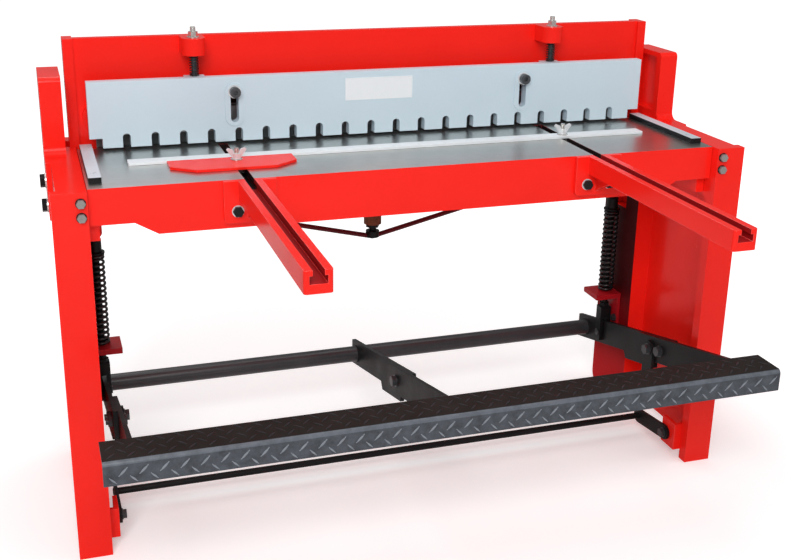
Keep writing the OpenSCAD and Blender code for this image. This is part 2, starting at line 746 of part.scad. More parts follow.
module hold_down_outline() difference() {
    translate([-hold_half, hold_z]) square([2 * hold_half, hold_h]);
    for (i = [0 : notch_n - 1])
        translate([(i - (notch_n - 1) / 2) * notch_pitch, 0])
            stadium(hold_z - notch_w, hold_z + notch_h - notch_w / 2, notch_w);
    for (s = [-1, 1]) {
        translate([s * hold_half - corner_w, hold_z - cut]) square([2 * corner_w, corner_h + cut]);
        translate([s * guide_off, 0]) stadium(slot_low, slot_high, slot_wide);
    }
}

module hold_down_plate() color("lightsteelblue") difference() {
    union() {
        on_front(hold_y, hold_t) hold_down_outline();
        // Raised rims round the guide slots
        for (s = [-1, 1]) translate([s * guide_off, 0, 0]) on_front(hold_y - rim_t, rim_t + cut) difference() {
            stadium(slot_low - rim_over + rim_w / 2 - slot_wide / 2, slot_high + rim_over - rim_w / 2 + slot_wide / 2, rim_w);
            stadium(slot_low, slot_high, slot_wide);
        }
        block([-hold_half + hold_rib_end, hold_back - cut, hold_rib_z],
            [hold_half - hold_rib_end, hold_back + hold_rib_d, hold_rib_z + hold_rib_t]);
        both_sides() block([bolt_off - hold_boss_w / 2, hold_back - cut, hold_top - hold_boss_h],
            [bolt_off + hold_boss_w / 2, hold_back + hold_boss_d, hold_top]);
    }
    both_sides() bar_z(bolt_off, bolt_y, hold_top - hold_stud_in, hold_bolt_d + 2 * fit_gap, hold_stud_in + cut);
}

hold_washer_t = 2.5;
hold_washer_d = 28;
hold_nut_h = 11;
hold_nut_d = 22;
hold_stud_up = 24;
hold_stud_top = ram_z + hold_stud_up;
module hold_down_bolts() color("silver") both_sides() translate([bolt_off, bolt_y, 0]) {
    translate([0, 0, hold_top - hold_stud_in + fit_gap])
        cylinder(d = hold_bolt_d, h = hold_stud_top - hold_top + hold_stud_in - fit_gap);
    translate([0, 0, ram_z + slide_gap]) cylinder(d = hold_washer_d, h = hold_washer_t);
    translate([0, 0, ram_z + slide_gap + hold_washer_t]) cylinder(d = hold_nut_d, h = hold_nut_h, $fn = 6);
}

guide_head_d = 24;
guide_head_h = 14;
guide_washer_d = 30;
guide_washer_t = 3;
module hold_down_guide_screws() color("dimgray") both_sides() {
    front = hold_y - rim_t - slide_gap;
    difference() {
        union() {
            bar_y(guide_off, front, guide_z0, guide_screw_d, hold_back - front + ram_y - hold_back);
            bar_y(guide_off, front - guide_washer_t, guide_z0, guide_washer_d, guide_washer_t);
            bar_y(guide_off, front - guide_washer_t - guide_head_h, guide_z0, guide_head_d, guide_head_h);
        }
        to_front([guide_off, front - guide_washer_t - guide_head_h / 2, guide_z0])
            cylinder(d = guide_head_d / 2, h = guide_head_h, $fn = 6);
    }
}

// Tie rods: they pull the ram down when the treadle is pressed
clevis_w = 31;
clevis_d = 26;
clevis_low = 22;
clevis_under = 47;
clevis_top = seat_z - clevis_under;
clevis_bite = 24;
lock_nut_h = 11;
lock_nut_d = 28;
pin_d = 12;
pin_drop = lever_l * tan(lever_tilt);
pin_z = shaft_z + pin_drop;
arm_play = 0.6;
pin_head_d = 18;
pin_head_t = 3;
module tie_rods() color("firebrick") both_sides() {
    bar_z(rod_x, rod_y, clevis_top - clevis_bite + fit_gap, rod_d, rod_top - clevis_top + clevis_bite - fit_gap);
    translate([rod_x, rod_y, clevis_top]) cylinder(d = lock_nut_d, h = lock_nut_h, $fn = 6);
}

collar_d = 31;
collar_h = 31;
collar_flange_t = 4;
collar_over = 1;
module spring_collars() color("black") both_sides() translate([rod_x, rod_y, collar_z]) difference() {
    union() {
        cylinder(d = spring_d + 2 * collar_over, h = collar_flange_t);
        cylinder(d = collar_d, h = collar_flange_t + collar_h);
    }
    translate([0, 0, -cut]) cylinder(d = rod_d + 2 * fit_gap, h = collar_flange_t + collar_h + 2 * cut);
}

module clevises() color("black") both_sides() difference() {
    block([rod_x - clevis_w / 2, rod_y - clevis_d / 2, pin_z - clevis_low],
        [rod_x + clevis_w / 2, rod_y + clevis_d / 2, clevis_top]);
    block([rod_x - lever_t / 2 - arm_play, rod_y - clevis_d, pin_z - clevis_low - cut],
        [rod_x + lever_t / 2 + arm_play, rod_y + clevis_d, clevis_top - clevis_bite - clevis_floor]);
    bar_z(rod_x, rod_y, clevis_top - clevis_bite, rod_d + 2 * fit_gap, clevis_bite + cut);
    bar_x(rod_x - clevis_w, rod_y, pin_z, pin_d + 2 * fit_gap, 2 * clevis_w);
}
clevis_floor = 8;
module clevis_pins() color("silver") both_sides() {
    bar_x(rod_x - clevis_w / 2 - pin_head_t, rod_y, pin_z, pin_d, clevis_w + 2 * pin_head_t);
    bar_x(rod_x - clevis_w / 2 - pin_head_t, rod_y, pin_z, pin_head_d, pin_head_t);
    bar_x(rod_x + clevis_w / 2, rod_y, pin_z, pin_head_d, pin_head_t);
}

// Spring brackets: angles on the columns that the return springs stand on
bracket_w = 76;
bracket_out = 73.5;
bracket_t = 14;
bracket_leg_t = 8;
bracket_leg_h = 97;
bracket_bolt_d = 10;
bracket_bolt_in = 25;
bracket_bolt_apart = 27;
bracket_bolt_drop = 74;
bracket_bolt_z = seat_z - bracket_bolt_drop;
bracket_bolt_ys = [rod_y - bracket_bolt_apart, rod_y + bracket_bolt_apart];
module spring_bracket() color("firebrick") difference() {
    union() {
        block([bay - bracket_out, rod_y - bracket_w / 2, seat_z - bracket_t], [bay, rod_y + bracket_w / 2, seat_z]);
        block([bay - bracket_leg_t, rod_y - bracket_w / 2, seat_z - bracket_leg_h], [bay, rod_y + bracket_w / 2, seat_z]);
    }
    bar_z(rod_x, rod_y, seat_z - bracket_t - cut, rod_d + 2 * run_gap, bracket_t + 2 * cut);
    for (y = bracket_bolt_ys)
        bar_x(bay - bracket_leg_t - cut, y, bracket_bolt_z, bracket_bolt_d + 2 * fit_gap, bracket_leg_t + 2 * cut);
}
module left_spring_bracket() mirror([1, 0, 0]) spring_bracket();
module right_spring_bracket() spring_bracket();
module spring_bracket_bolts() color("dimgray") both_sides() for (y = bracket_bolt_ys)
    to_left([bay - bracket_leg_t, y, bracket_bolt_z]) hex_bolt(bracket_bolt_d, bracket_leg_t + bracket_bolt_in - fit_gap);

// Pivot blocks: bearings of the treadle shaft on the inner faces of the columns
pivot_t = 20;
pivot_h = 44;
journal_d = 26;
pivot_fore = 60;
pivot_bolt_fore = 44;
pivot_bolt_d = 8;
pivot_bolt_apart = 12;
pivot_bolt_in = 22;
pivot_bolt_y = shaft_y - pivot_bolt_fore;
pivot_bolt_zs = [shaft_z - pivot_bolt_apart, shaft_z + pivot_bolt_apart];
module pivot_blocks() color("black") both_sides() difference() {
    union() {
        bar_x(bay - pivot_t, shaft_y, shaft_z, pivot_h, pivot_t);
        block([bay - pivot_t, shaft_y - pivot_fore, shaft_z - pivot_h / 2], [bay, shaft_y, shaft_z + pivot_h / 2]);
    }
    bar_x(bay - pivot_t - cut, shaft_y, shaft_z, journal_d + 2 * run_gap, pivot_t + 2 * cut);
    for (z = pivot_bolt_zs)
        to_left([bay - pivot_t, pivot_bolt_y, z]) cap_hole(pivot_bolt_d, pivot_t);
}
module pivot_block_bolts() color("dimgray") both_sides() for (z = pivot_bolt_zs)
    to_left([bay - pivot_t + fit_gap, pivot_bolt_y, z])
        cap_screw(pivot_bolt_d, pivot_t + pivot_bolt_in - 2 * fit_gap);

// Treadle: three arms on the shaft, each of two plates, under one foot board
shaft_side_gap = 2;
shaft_half = bay - pivot_t - shaft_side_gap;
journal_end_gap = 2;
module treadle_shaft() color("black") {
    bar_x(-shaft_half, shaft_y, shaft_z, shaft_d, 2 * shaft_half);
    bar_x(-bay + journal_end_gap, shaft_y, shaft_z, journal_d, 2 * (bay - journal_end_gap));
}

mid_off = 12;
joint_back = 137;
joint_y = face_y + joint_back;
joint_z = shaft_z + (shaft_y - joint_y) * tan(lever_tilt);
rear_arm_over = 87;
front_arm_over = 63;
tab_drop = 21;
tab_rear = 147;
tab_front = -7;
tab_slope = 12;
board_top = 385;
board_front = face_y - board_reach;
board_under = board_top - board_t;
// Height of the arms' middle line at a place behind the origin
function arm_line(y) = shaft_z + (shaft_y - y) * tan(lever_tilt);
half_lever = lever_h / 2 / cos(lever_tilt);
tail_y = shaft_y + lever_tail;
rear_arm_front = joint_y - rear_arm_over;
joint_bolt_d = 14;
joint_bolt_apart = 42;
joint_bolt_2_y = joint_y - joint_bolt_apart;

module rear_arm_outline(slot) difference() {
    polygon([
        [tail_y, arm_line(tail_y) - half_lever], [tail_y, arm_line(tail_y) + half_lever],
        [rear_arm_front, arm_line(rear_arm_front) + half_lever],
        [rear_arm_front, arm_line(rear_arm_front) - half_lever],
        [joint_y + tab_front, arm_line(joint_y + tab_front) - half_lever],
        [joint_y + tab_front, arm_line(joint_y + tab_front) - half_lever - tab_drop],
        [joint_y + tab_rear - tab_slope, arm_line(joint_y + tab_rear - tab_slope) - half_lever - tab_drop],
        [joint_y + tab_rear, arm_line(joint_y + tab_rear) - half_lever]
    ]);
    translate([shaft_y, shaft_z]) circle(d = shaft_d + 2 * fit_gap);
    translate([joint_y, joint_z]) circle(d = joint_bolt_d + 2 * fit_gap);
    if (slot) {
        translate([joint_bolt_2_y, arm_line(joint_bolt_2_y)]) circle(d = joint_bolt_d + 2 * fit_gap);
        // The clevis pin's hole is a short slot, because the pin moves straight up and down
        for (y = [rod_y, rod_y + pin_slip]) translate([y, pin_z]) circle(d = pin_d + 2 * arm_play);
        translate([rod_y, pin_z - pin_d / 2 - arm_play]) square([pin_slip, pin_d + 2 * arm_play]);
    }
}
pin_slip = 2.6;

module front_arm_outline(two_bolts) difference() {
    polygon([
        [joint_y + front_arm_over, arm_line(joint_y + front_arm_over) - half_lever],
        [joint_y + front_arm_over, arm_line(joint_y + front_arm_over) + half_lever],
        [board_seat_y, min(board_under, arm_line(board_seat_y) + half_lever)],
        [board_seat_y, board_under],
        [board_front + board_t + fit_gap, board_under],
        [board_front + board_t + fit_gap, board_under - board_h / 2],
        [board_seat_y, arm_line(board_seat_y) - half_lever]
    ]);
    translate([joint_y, joint_z]) circle(d = joint_bolt_d + 2 * fit_gap);
    if (two_bolts) translate([joint_bolt_2_y, arm_line(joint_bolt_2_y)]) circle(d = joint_bolt_d + 2 * fit_gap);
}
board_seat_y = board_front + board_d;

module rear_treadle_arms() color("black") {
    both_sides() on_side(rod_x - lever_t / 2, lever_t) rear_arm_outline(true);
    on_side(-mid_off, lever_t) rear_arm_outline(false);
}
module front_treadle_arms() color("black") {
    both_sides() on_side(rod_x - 3 * lever_t / 2, lever_t) front_arm_outline(true);
    on_side(-mid_off - lever_t, lever_t) front_arm_outline(false);
}

joint_plate_t = 8;
joint_plate_w = 44;
joint_plate_r = 22;
joint_plate_down = 78;
module joint_plates() color("black") both_sides()
    on_side(rod_x - 3 * lever_t / 2 - joint_plate_t, joint_plate_t) difference() {
        union() {
            translate([joint_y, joint_z]) circle(joint_plate_r);
            translate([joint_y - joint_plate_w / 2, joint_z - joint_plate_down]) square([joint_plate_w, joint_plate_down]);
        }
        translate([joint_y, joint_z]) circle(d = joint_bolt_d + 2 * fit_gap);
    }

module joint_bolt(x, l) {
    to_left([x, joint_y, joint_z]) hex_bolt(joint_bolt_d, l + joint_bolt_d);
    to_right([x + l, joint_y, joint_z]) nut_ring(joint_bolt_d);
}
// A hexagon nut round a shank that already fills it
module nut_ring(d) cylinder(d = head_w_share * d, h = head_h_share * d, $fn = 6);
module arm_joint_bolts() color("dimgray") {
    both_sides() {
        joint_bolt(rod_x - 3 * lever_t / 2 - joint_plate_t, joint_plate_t + 2 * lever_t);
        translate([0, -joint_bolt_apart, arm_line(joint_bolt_2_y) - joint_z])
            joint_bolt(rod_x - 3 * lever_t / 2, 2 * lever_t);
    }
    joint_bolt(-mid_off - lever_t, 2 * lever_t);
}

module foot_board() color("dimgray") translate([-board_l / 2, 0, 0]) on_side(0, board_l) difference() {
    union() {
        translate([board_front + board_t, board_top - board_t]) square([board_d - board_t, board_t]);
        translate([board_front, board_top - board_h]) square([board_t, board_h - board_bend]);
        translate([board_front + board_bend, board_top - board_bend]) circle(board_bend);
        translate([board_front + board_bend, board_top - board_t]) square([board_bend, board_t]);
        translate([board_front, board_top - board_bend - board_t]) square([board_t, board_t]);
    }
    translate([board_front + board_t, board_top - board_t - board_bend * 2]) square([board_bend * 2, board_bend * 2]);
}
board_bend = 10;
board_l = 2 * (bay + board_over);

// Stretcher: a low bar between the side frames, on links behind the posts
angle_w = 58;
angle_h = 70;
angle_t = 10;
angle_z = 25;
angle_out = 20;
angle_in = 38;
angle_bolt_d = 10;
angle_bolt_in = 18;
angle_bolt_off = 20;
angle_bolt_x = bay + angle_bolt_off;
angle_bolt_end = 16;
angle_bolt_zs = [angle_z + angle_bolt_end, angle_z + angle_h - angle_bolt_end];
link_t = 8;
link_w = 38;
link_front = 66;
link_front_z = 57;
link_rear = 192;
link_rear_z = 42;
link_x = bay - angle_out - link_t;
link_bolt_d = 12;
stretcher_d = 16;
stretcher_over = 2;
link_y = face_y + link_front;
bar_y0 = face_y + link_rear;
stretcher_half = link_x + link_t + stretcher_over;

module stretcher_brackets() color("firebrick") both_sides() difference() {
    union() {
        block([bay - angle_out, face_y + post_d, angle_z], [bay - angle_out + angle_t, face_y + post_d + angle_w, angle_z + angle_h]);
        block([bay - angle_out, face_y + post_d, angle_z], [bay + angle_in, face_y + post_d + angle_t, angle_z + angle_h]);
    }
    bar_x(bay - angle_out - cut, link_y, link_front_z, link_bolt_d + 2 * fit_gap, angle_t + 2 * cut);
    for (z = angle_bolt_zs)
        bar_y(angle_bolt_x, face_y + post_d - cut, z, angle_bolt_d + 2 * fit_gap, angle_t + 2 * cut);
}
module stretcher_bracket_bolts() color("dimgray") both_sides() for (z = angle_bolt_zs)
    to_rear([angle_bolt_x, face_y + post_d + angle_t, z]) hex_bolt(angle_bolt_d, angle_t + angle_bolt_in - fit_gap);

module stretcher_links() color("black") both_sides() on_side(link_x, link_t) difference() {
    hull() {
        translate([link_y, link_front_z]) circle(d = link_w, $fn = 32);
        translate([bar_y0, link_rear_z]) circle(d = link_w, $fn = 32);
    }
    translate([link_y, link_front_z]) circle(d = link_bolt_d + 2 * fit_gap);
    translate([bar_y0, link_rear_z]) circle(d = stretcher_d + 2 * fit_gap);
}
module stretcher_link_bolts() color("dimgray") both_sides()
    to_left([link_x, link_y, link_front_z]) hex_bolt(link_bolt_d, link_t + angle_t);
module stretcher_bar() color("black")
    bar_x(-stretcher_half, bar_y0, link_rear_z, stretcher_d, 2 * stretcher_half);

// Springs: one wire swept along a coil, with both ends turned square to their seats
function coil_r(d, wire) = (d - wire) / 2;
bend_share = 1.4;
wire_sides = 6;
function end_r(wire) = bend_share * wire;
function lead_angle(d, wire, l, turns) =
    atan((l - 2 * (wire + end_r(wire))) / (turns * PI * (d - wire)));
// Each ring is [turn angle, step back along the tangent, height, slope of the wire]
function coil_rings(d, wire, l, turns) = let (
        r = end_r(wire), slope = lead_angle(d, wire, l, turns), sides = 8, bend_n = 3,
        low = wire + r, rise = l - 2 * low, n = turns * sides
    ) concat(
        [[0, -r, 0, 90], [0, -r, wire, 90]],
        [for (i = [1 : bend_n]) let (a = i * 90 / (bend_n + 1)) [0, -r * cos(a), wire + r * sin(a), 90 - a]],
        [for (i = [0 : n]) [360 * i / sides, 0, low + rise * i / n, slope]],
        [for (i = [1 : bend_n]) let (a = i * 90 / (bend_n + 1))
            [360 * turns, r * sin(a), l - low + r * (1 - cos(a)), a]],
        [[360 * turns, r, l - wire, 90], [360 * turns, r, l, 90]]
    );
function coil_point(ring, r) = let (a = ring[0])
    [r * cos(a) - ring[1] * sin(a), r * sin(a) + ring[1] * cos(a), ring[2]];
function tube_ring(ring, r, wire) = let (
        a = ring[0], s = ring[3], c = coil_point(ring, r),
        u = [cos(a), sin(a), 0], v = [sin(a) * sin(s), -cos(a) * sin(s), cos(s)]
    ) [for (k = [0 : wire_sides - 1]) let (b = 360 * k / wire_sides)
        c + wire / 2 * (cos(b) * u + sin(b) * v)];
function coil_gap(d, wire, l, turns) = let (
        r = coil_r(d, wire), rings = coil_rings(d, wire, l, turns),
        points = [for (ring = rings) coil_point(ring, r)], n = len(points)
    ) min([for (i = [0 : n - 1], j = [i + 6 : 1 : n - 1]) norm(points[i] - points[j])]) - wire;

module coil(d, wire, l, turns) {
    rings = coil_rings(d, wire, l, turns);
    n = len(rings);
    points = [for (ring = rings) each tube_ring(ring, coil_r(d, wire), wire)];
    w = wire_sides;
    walls = [for (i = [0 : n - 2], k = [0 : w - 1]) let (
            a = w * i + k, b = w * i + (k + 1) % w, c = b + w, e = a + w
        ) each [[a, c, b], [a, e, c]]];
    first_cap = [for (k = [1 : w - 2]) [0, k, k + 1]];
    last_cap = [for (k = [1 : w - 2]) [w * n - w, w * n - w + k + 1, w * n - w + k]];
    polyhedron(points = points, faces = concat(walls, first_cap, last_cap));
}

spring_turns = round((spring_l - 2 * (spring_wire + end_r(spring_wire))) / spring_pitch);
module return_spring() color("black") translate([rod_x, rod_y, seat_z])
    coil(spring_d, spring_wire, spring_l, spring_turns);
module left_return_spring() mirror([1, 0, 0]) return_spring();
module right_return_spring() return_spring();

hold_spring_l = ram_z - boss_h - hold_top;
module hold_down_spring() color("black") translate([bolt_off, bolt_y, hold_top])
    coil(hold_spring_d, hold_wire, hold_spring_l, hold_turns);
module left_hold_down_spring() mirror([1, 0, 0]) hold_down_spring();
module right_hold_down_spring() hold_down_spring();
echo(return_spring_gap = coil_gap(spring_d, spring_wire, spring_l, spring_turns));
echo(hold_down_spring_gap = coil_gap(hold_spring_d, hold_wire, hold_spring_l, hold_turns));

// Front gauge: a bar on two T-bolts, with a stop plate clamped in front of it
bar_back = 218;
bar_rear = face_y + bar_back;
bar_front = bar_rear - bar_w;
bar_left = bar_left_in - cut_l / 2;
bar_l = cut_l - bar_left_in - bar_right_in;
stud_d = 10;
right_stud_y = (bar_front + bar_rear) / 2;
left_stud_in = 24;
left_stud_y = bar_front - left_stud_in;
stud_ys = [left_stud_y, right_stud_y];
t_gap = 0.6;
t_head_h = 10;
neck_drop = 1;
neck_h = slot_lip - neck_drop;
stud_up = 34;
wing_washer_d = 26;
wing_washer_t = 2;
stop_x = -395;
stop_end_d = 52;
stop_mid_l = 172;
ledge_d = 10;

module t_bolt(x, y) {
    head = chamber_w - 2 * t_gap;
    neck = slot_w - 2 * t_gap;
    low = table_h - slot_lip - t_head_h - t_gap;
    block([x - head / 2, y - head / 2, low], [x + head / 2, y + head / 2, low + t_head_h]);
    block([x - neck / 2, y - neck / 2, low + t_head_h - cut], [x + neck / 2, y + neck / 2, low + t_head_h + neck_h]);
    bar_z(x, y, low + t_head_h, stud_d, neck_h + stud_up);
}

module front_gauge_bar() color("gainsboro") difference() {
    block([bar_left, bar_front, table_h + slide_gap], [bar_left + bar_l, bar_rear, table_h + slide_gap + bar_t]);
    bar_z(arm_xs[1], right_stud_y, table_h, stud_d + 2 * fit_gap, 2 * bar_t);
    // Rebate for the stop plate's ledge
    block([stop_x - stop_l / 2 - fit_gap, bar_front - cut, table_h],
        [stop_x + stop_l / 2 + fit_gap, bar_front + ledge_d + fit_gap, table_h + slide_gap + bar_t / 2 + fit_gap]);
}

module gauge_t_bolts() color("silver") for (i = [0, 1]) {
    t_bolt(arm_xs[i], stud_ys[i]);
    translate([arm_xs[i], stud_ys[i], table_h + slide_gap + bar_t]) cylinder(d = wing_washer_d, h = wing_washer_t);
}

module stop_plate() color("red") difference() {
    union() {
        translate([stop_x, bar_front, table_h + slide_gap]) linear_extrude(bar_t) polygon([
            [-stop_l / 2, -fit_gap], [-stop_l / 2, -stop_end_d], [-stop_mid_l / 2, -stop_d],
            [stop_mid_l / 2, -stop_d], [stop_l / 2, -stop_end_d], [stop_l / 2, -fit_gap]
        ]);
        block([stop_x - stop_l / 2, bar_front - 2 * fit_gap, table_h + slide_gap],
            [stop_x + stop_l / 2, bar_front + ledge_d, table_h + slide_gap + bar_t / 2]);
    }
    bar_z(arm_xs[0], left_stud_y, table_h, stud_d + 2 * fit_gap, 2 * bar_t);
}

wing_hub_d = 18;
wing_hub_h = 12;
wing_t = 4;
wing_span = 44;
wing_rise = 24;
wing_tip_w = 14;
module wing_nut(i) color("lightgray")
    translate([arm_xs[i], stud_ys[i], table_h + slide_gap + bar_t + wing_washer_t + slide_gap]) difference() {
        union() {
            cylinder(d = wing_hub_d, h = wing_hub_h);
            translate([0, -wing_t / 2, 0]) on_front(0, wing_t) for (s = [-1, 1]) scale([s, 1])
                polygon([
                    [wing_hub_d / 4, wing_t / 2], [wing_hub_d / 2, wing_t / 2],
                    [wing_span / 2, wing_rise - wing_t], [wing_span / 2 - wing_t, wing_rise],
                    [wing_span / 2 - wing_tip_w, wing_rise - wing_t], [wing_hub_d / 4, wing_hub_h]
                ]);
        }
        translate([0, 0, -cut]) cylinder(d = stud_d + 2 * run_gap, h = wing_rise + 2 * cut);
    }
module wing_nut_left() wing_nut(0);
module wing_nut_right() wing_nut(1);

left_side_frame();
right_side_frame();
work_table();
table_apron();
table_ribs();
table_beam();
table_post_bolts();
table_side_bolts();
lower_blade();
lower_blade_screws();
left_side_gauge();
right_side_gauge();
side_gauge_screws();
left_support_arm();
right_support_arm();
support_arm_bolts();
guide_gibs();
gib_screws();
left_spring_bracket();
right_spring_bracket();
spring_bracket_bolts();
pivot_blocks();
pivot_block_bolts();
stretcher_brackets();
stretcher_bracket_bolts();
stretcher_links();
stretcher_link_bolts();
stretcher_bar();
left_return_spring();
right_return_spring();
ram();
ram_flange();
ram_ribs();
left_ram_slide();
right_ram_slide();
ram_slide_bolts();
upper_blade();
upper_blade_screws();
truss_rod();
truss_screw();
hold_down_guide_screws();
tie_rods();
spring_collars();
clevises();
clevis_pins();
hold_down_plate();
hold_down_bolts();
left_hold_down_spring();
right_hold_down_spring();
treadle_shaft();
rear_treadle_arms();
front_treadle_arms();
joint_plates();
arm_joint_bolts();
foot_board();
front_gauge_bar();
stop_plate();
gauge_t_bolts();
wing_nut_left();
wing_nut_right();
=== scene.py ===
# %% [markdown]
# # Dressing a foot-operated guillotine shear
#
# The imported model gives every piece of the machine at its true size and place.
# This lesson keeps those sizes and gives each piece the surface of the real one:
# enamel on castings, ground steel on the table, wound springs, a chequered tread.
# Everything is in metres: X along the cut, +Y from the operator to the rear, +Z up.

# %% Load the frame
import json
from functools import partial
from math import cos, pi, radians, sin

import bmesh
import bpy
from mathutils import Matrix, Vector


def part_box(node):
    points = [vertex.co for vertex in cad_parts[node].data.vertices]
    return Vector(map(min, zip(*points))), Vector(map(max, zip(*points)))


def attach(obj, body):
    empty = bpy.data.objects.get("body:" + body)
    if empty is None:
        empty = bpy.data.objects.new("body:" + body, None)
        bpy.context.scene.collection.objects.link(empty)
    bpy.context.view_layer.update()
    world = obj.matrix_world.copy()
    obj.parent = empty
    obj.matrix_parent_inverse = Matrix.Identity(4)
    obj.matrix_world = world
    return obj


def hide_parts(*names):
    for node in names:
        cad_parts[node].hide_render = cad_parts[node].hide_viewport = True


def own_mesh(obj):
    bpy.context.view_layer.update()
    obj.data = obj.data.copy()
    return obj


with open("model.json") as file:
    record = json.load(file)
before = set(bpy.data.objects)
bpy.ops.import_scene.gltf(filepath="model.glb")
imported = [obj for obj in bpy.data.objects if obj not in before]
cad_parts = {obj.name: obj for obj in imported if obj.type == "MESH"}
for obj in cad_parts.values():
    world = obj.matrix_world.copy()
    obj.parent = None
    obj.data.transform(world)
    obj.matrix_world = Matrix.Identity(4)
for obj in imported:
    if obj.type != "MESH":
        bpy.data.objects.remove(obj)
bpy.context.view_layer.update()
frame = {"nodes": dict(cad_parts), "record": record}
MM = 0.001

# %% Put an object into the scene


def add_object(name, data, material=None):
    """New object at the origin, with one material where it's given."""
    piece = bpy.data.objects.new(name, data)
    bpy.context.collection.objects.link(piece)
    if material:
        data.materials.clear()
        data.materials.append(material)
    return piece


# %% [markdown]
# ## The camera
#
# The photograph was taken from the left of the machine and from above the table.
# A tilted camera makes the posts lean together, so its direction is built from
# yaw, pitch and roll, and the small shift puts the machine where the picture has it.

# %% Camera at the photograph's angle
camera_place = Vector((-0.80689, -2.18369, 1.43176))
camera_yaw, camera_pitch, camera_roll = radians(17.97), radians(-18.54), radians(0.83)
camera_lens, camera_shift = 50.82, (0.0188, -0.0473)


def camera_axes(yaw, pitch, roll):
    """Right, up and forward of a camera that looks along +Y when all angles are zero."""
    forward = Vector((sin(yaw) * cos(pitch), cos(yaw) * cos(pitch), sin(pitch)))
    level = Vector((cos(yaw), -sin(yaw), 0.0))
    upright = level.cross(forward)
    right = cos(roll) * level + sin(roll) * upright
    up = cos(roll) * upright - sin(roll) * level
    return right, up, forward


camera_data = bpy.data.cameras.new("studio_camera")
camera_data.lens, camera_data.sensor_width = camera_lens, 36
camera_data.shift_x, camera_data.shift_y = camera_shift
camera_data.clip_end = 60
camera = add_object("studio_camera", camera_data)
right, up, forward = camera_axes(camera_yaw, camera_pitch, camera_roll)
turn = Matrix((right, up, -forward)).transposed()
camera.matrix_world = Matrix.Translation(camera_place) @ turn.to_4x4()
bpy.context.scene.camera = camera
print("camera looks along", [round(v, 3) for v in forward])

# %% [markdown]
# ## The studio
#
# A product on white needs even light from the front and the sides, and a floor that
# takes the shadow. The world is plain white where the camera sees it and dimmer where it
# lights the object or shows in its gloss, so that colours keep their depth.

# %% Floor, world and lamps
floor_size, floor_colour = 40.0, (0.93, 0.93, 0.93, 1)
near_glow, far_glow = 0.32, 0.85
glow_starts, glow_full = 0.9, 3.2
world_light = 0.24


def new_tree(owner):
    """Empty node tree of a material or world."""
    owner.use_nodes = True
    owner.node_tree.nodes.clear()
    return owner.node_tree


def add_floor():
    """Square floor under the machine, pale and without gloss."""
    half = floor_size / 2
    mesh = bpy.data.meshes.new("studio_floor")
    corners = [(-half, -half, 0), (half, -half, 0), (half, half, 0), (-half, half, 0)]
    mesh.from_pydata(corners, [], [(0, 1, 2, 3)])
    material = bpy.data.materials.new("floor_paper")
    tree = new_tree(material)
    add, link = tree.nodes.new, tree.links.new
    output = add("ShaderNodeOutputMaterial")
    paper = add("ShaderNodeBsdfDiffuse")
    paper.inputs["Color"].default_value = floor_colour
    glow = add("ShaderNodeEmission")
    # The lamps fade with distance, so the far floor glows more and the near one keeps the shadow
    middle_far = add("ShaderNodeVectorMath")
    middle_far.operation = "LENGTH"
    link(add("ShaderNodeTexCoord").outputs["Object"], middle_far.inputs[0])
    fade = add("ShaderNodeMapRange")
    ranges = {"From Min": glow_starts, "From Max": glow_full, "To Min": near_glow, "To Max": far_glow}
    for label, value in ranges.items():
        fade.inputs[label].default_value = value
    link(middle_far.outputs["Value"], fade.inputs["Value"])
    link(fade.outputs[0], glow.inputs["Strength"])
    path = add("ShaderNodeLightPath")
    seen = add("ShaderNodeMixShader")
    both = add("ShaderNodeAddShader")
    link(paper.outputs[0], both.inputs[0])
    link(glow.outputs[0], both.inputs[1])
    link(path.outputs["Is Camera Ray"], seen.inputs[0])
    link(paper.outputs[0], seen.inputs[1])
    link(both.outputs[0], seen.inputs[2])
    link(seen.outputs[0], output.inputs["Surface"])
    add_object("studio_floor", mesh, material)


def light_world():
    """White to the eye, dimmer as a source of light and in the gloss."""
    world = bpy.data.worlds.new("studio_world")
    bpy.context.scene.world = world
    tree = new_tree(world)
    add, link = tree.nodes.new, tree.links.new
    output = add("ShaderNodeOutputWorld")
    background = add("ShaderNodeBackground")
    background.inputs["Color"].default_value = (1, 1, 1, 1)
    path = add("ShaderNodeLightPath")
    seen = add("ShaderNodeMath")
    seen.operation = "MAXIMUM"
    strength = add("ShaderNodeMapRange")
    strength.inputs["To Min"].default_value = world_light
    strength.inputs["To Max"].default_value = 1.0
    link(path.outputs["Is Camera Ray"], seen.inputs[0])
    link(path.outputs["Is Transmission Ray"], seen.inputs[1])
    link(seen.outputs[0], strength.inputs["Value"])
    link(strength.outputs[0], background.inputs["Strength"])
    link(background.outputs[0], output.inputs["Surface"])


def add_lamp(name, place, aim, size, power):
    """Square soft box that points at a place."""
    data = bpy.data.lights.new(name, "AREA")
    data.shape, data.size, data.energy = "SQUARE", size, power
    lamp = add_object(name, data)
    lamp.location = place
    lamp.rotation_euler = (Vector(aim) - Vector(place)).to_track_quat("-Z", "Y").to_euler()


add_floor()
light_world()
machine_middle = (0, 0.1, 0.6)
# Place, size in metres and power in watts
soft_boxes = {
    "front_box": ((-1.5, -3.5, 3.2), 2.2, 128), "right_box": ((3.6, -1.6, 2.4), 2.0, 20),
    "top_box": ((0.4, 0.2, 4.2), 3.0, 44), "rear_box": ((-1.2, 3.0, 3.6), 2.4, 36)}
for name, (place, size, power) in soft_boxes.items():
    add_lamp(name, place, machine_middle, size, power)
bpy.context.scene.view_settings.view_transform = "Standard"
print("studio is lit by", len(soft_boxes), "lamps")

# %% [markdown]
# ## Shared effects
#
# Enamel on a casting is never quite flat or evenly red, and bare steel is never evenly
# bright. Three node groups hold what several finishes use: a slow drift of tone, the
# skin of a casting, and the straight lay that a grinding wheel leaves.

# %% Node group helpers


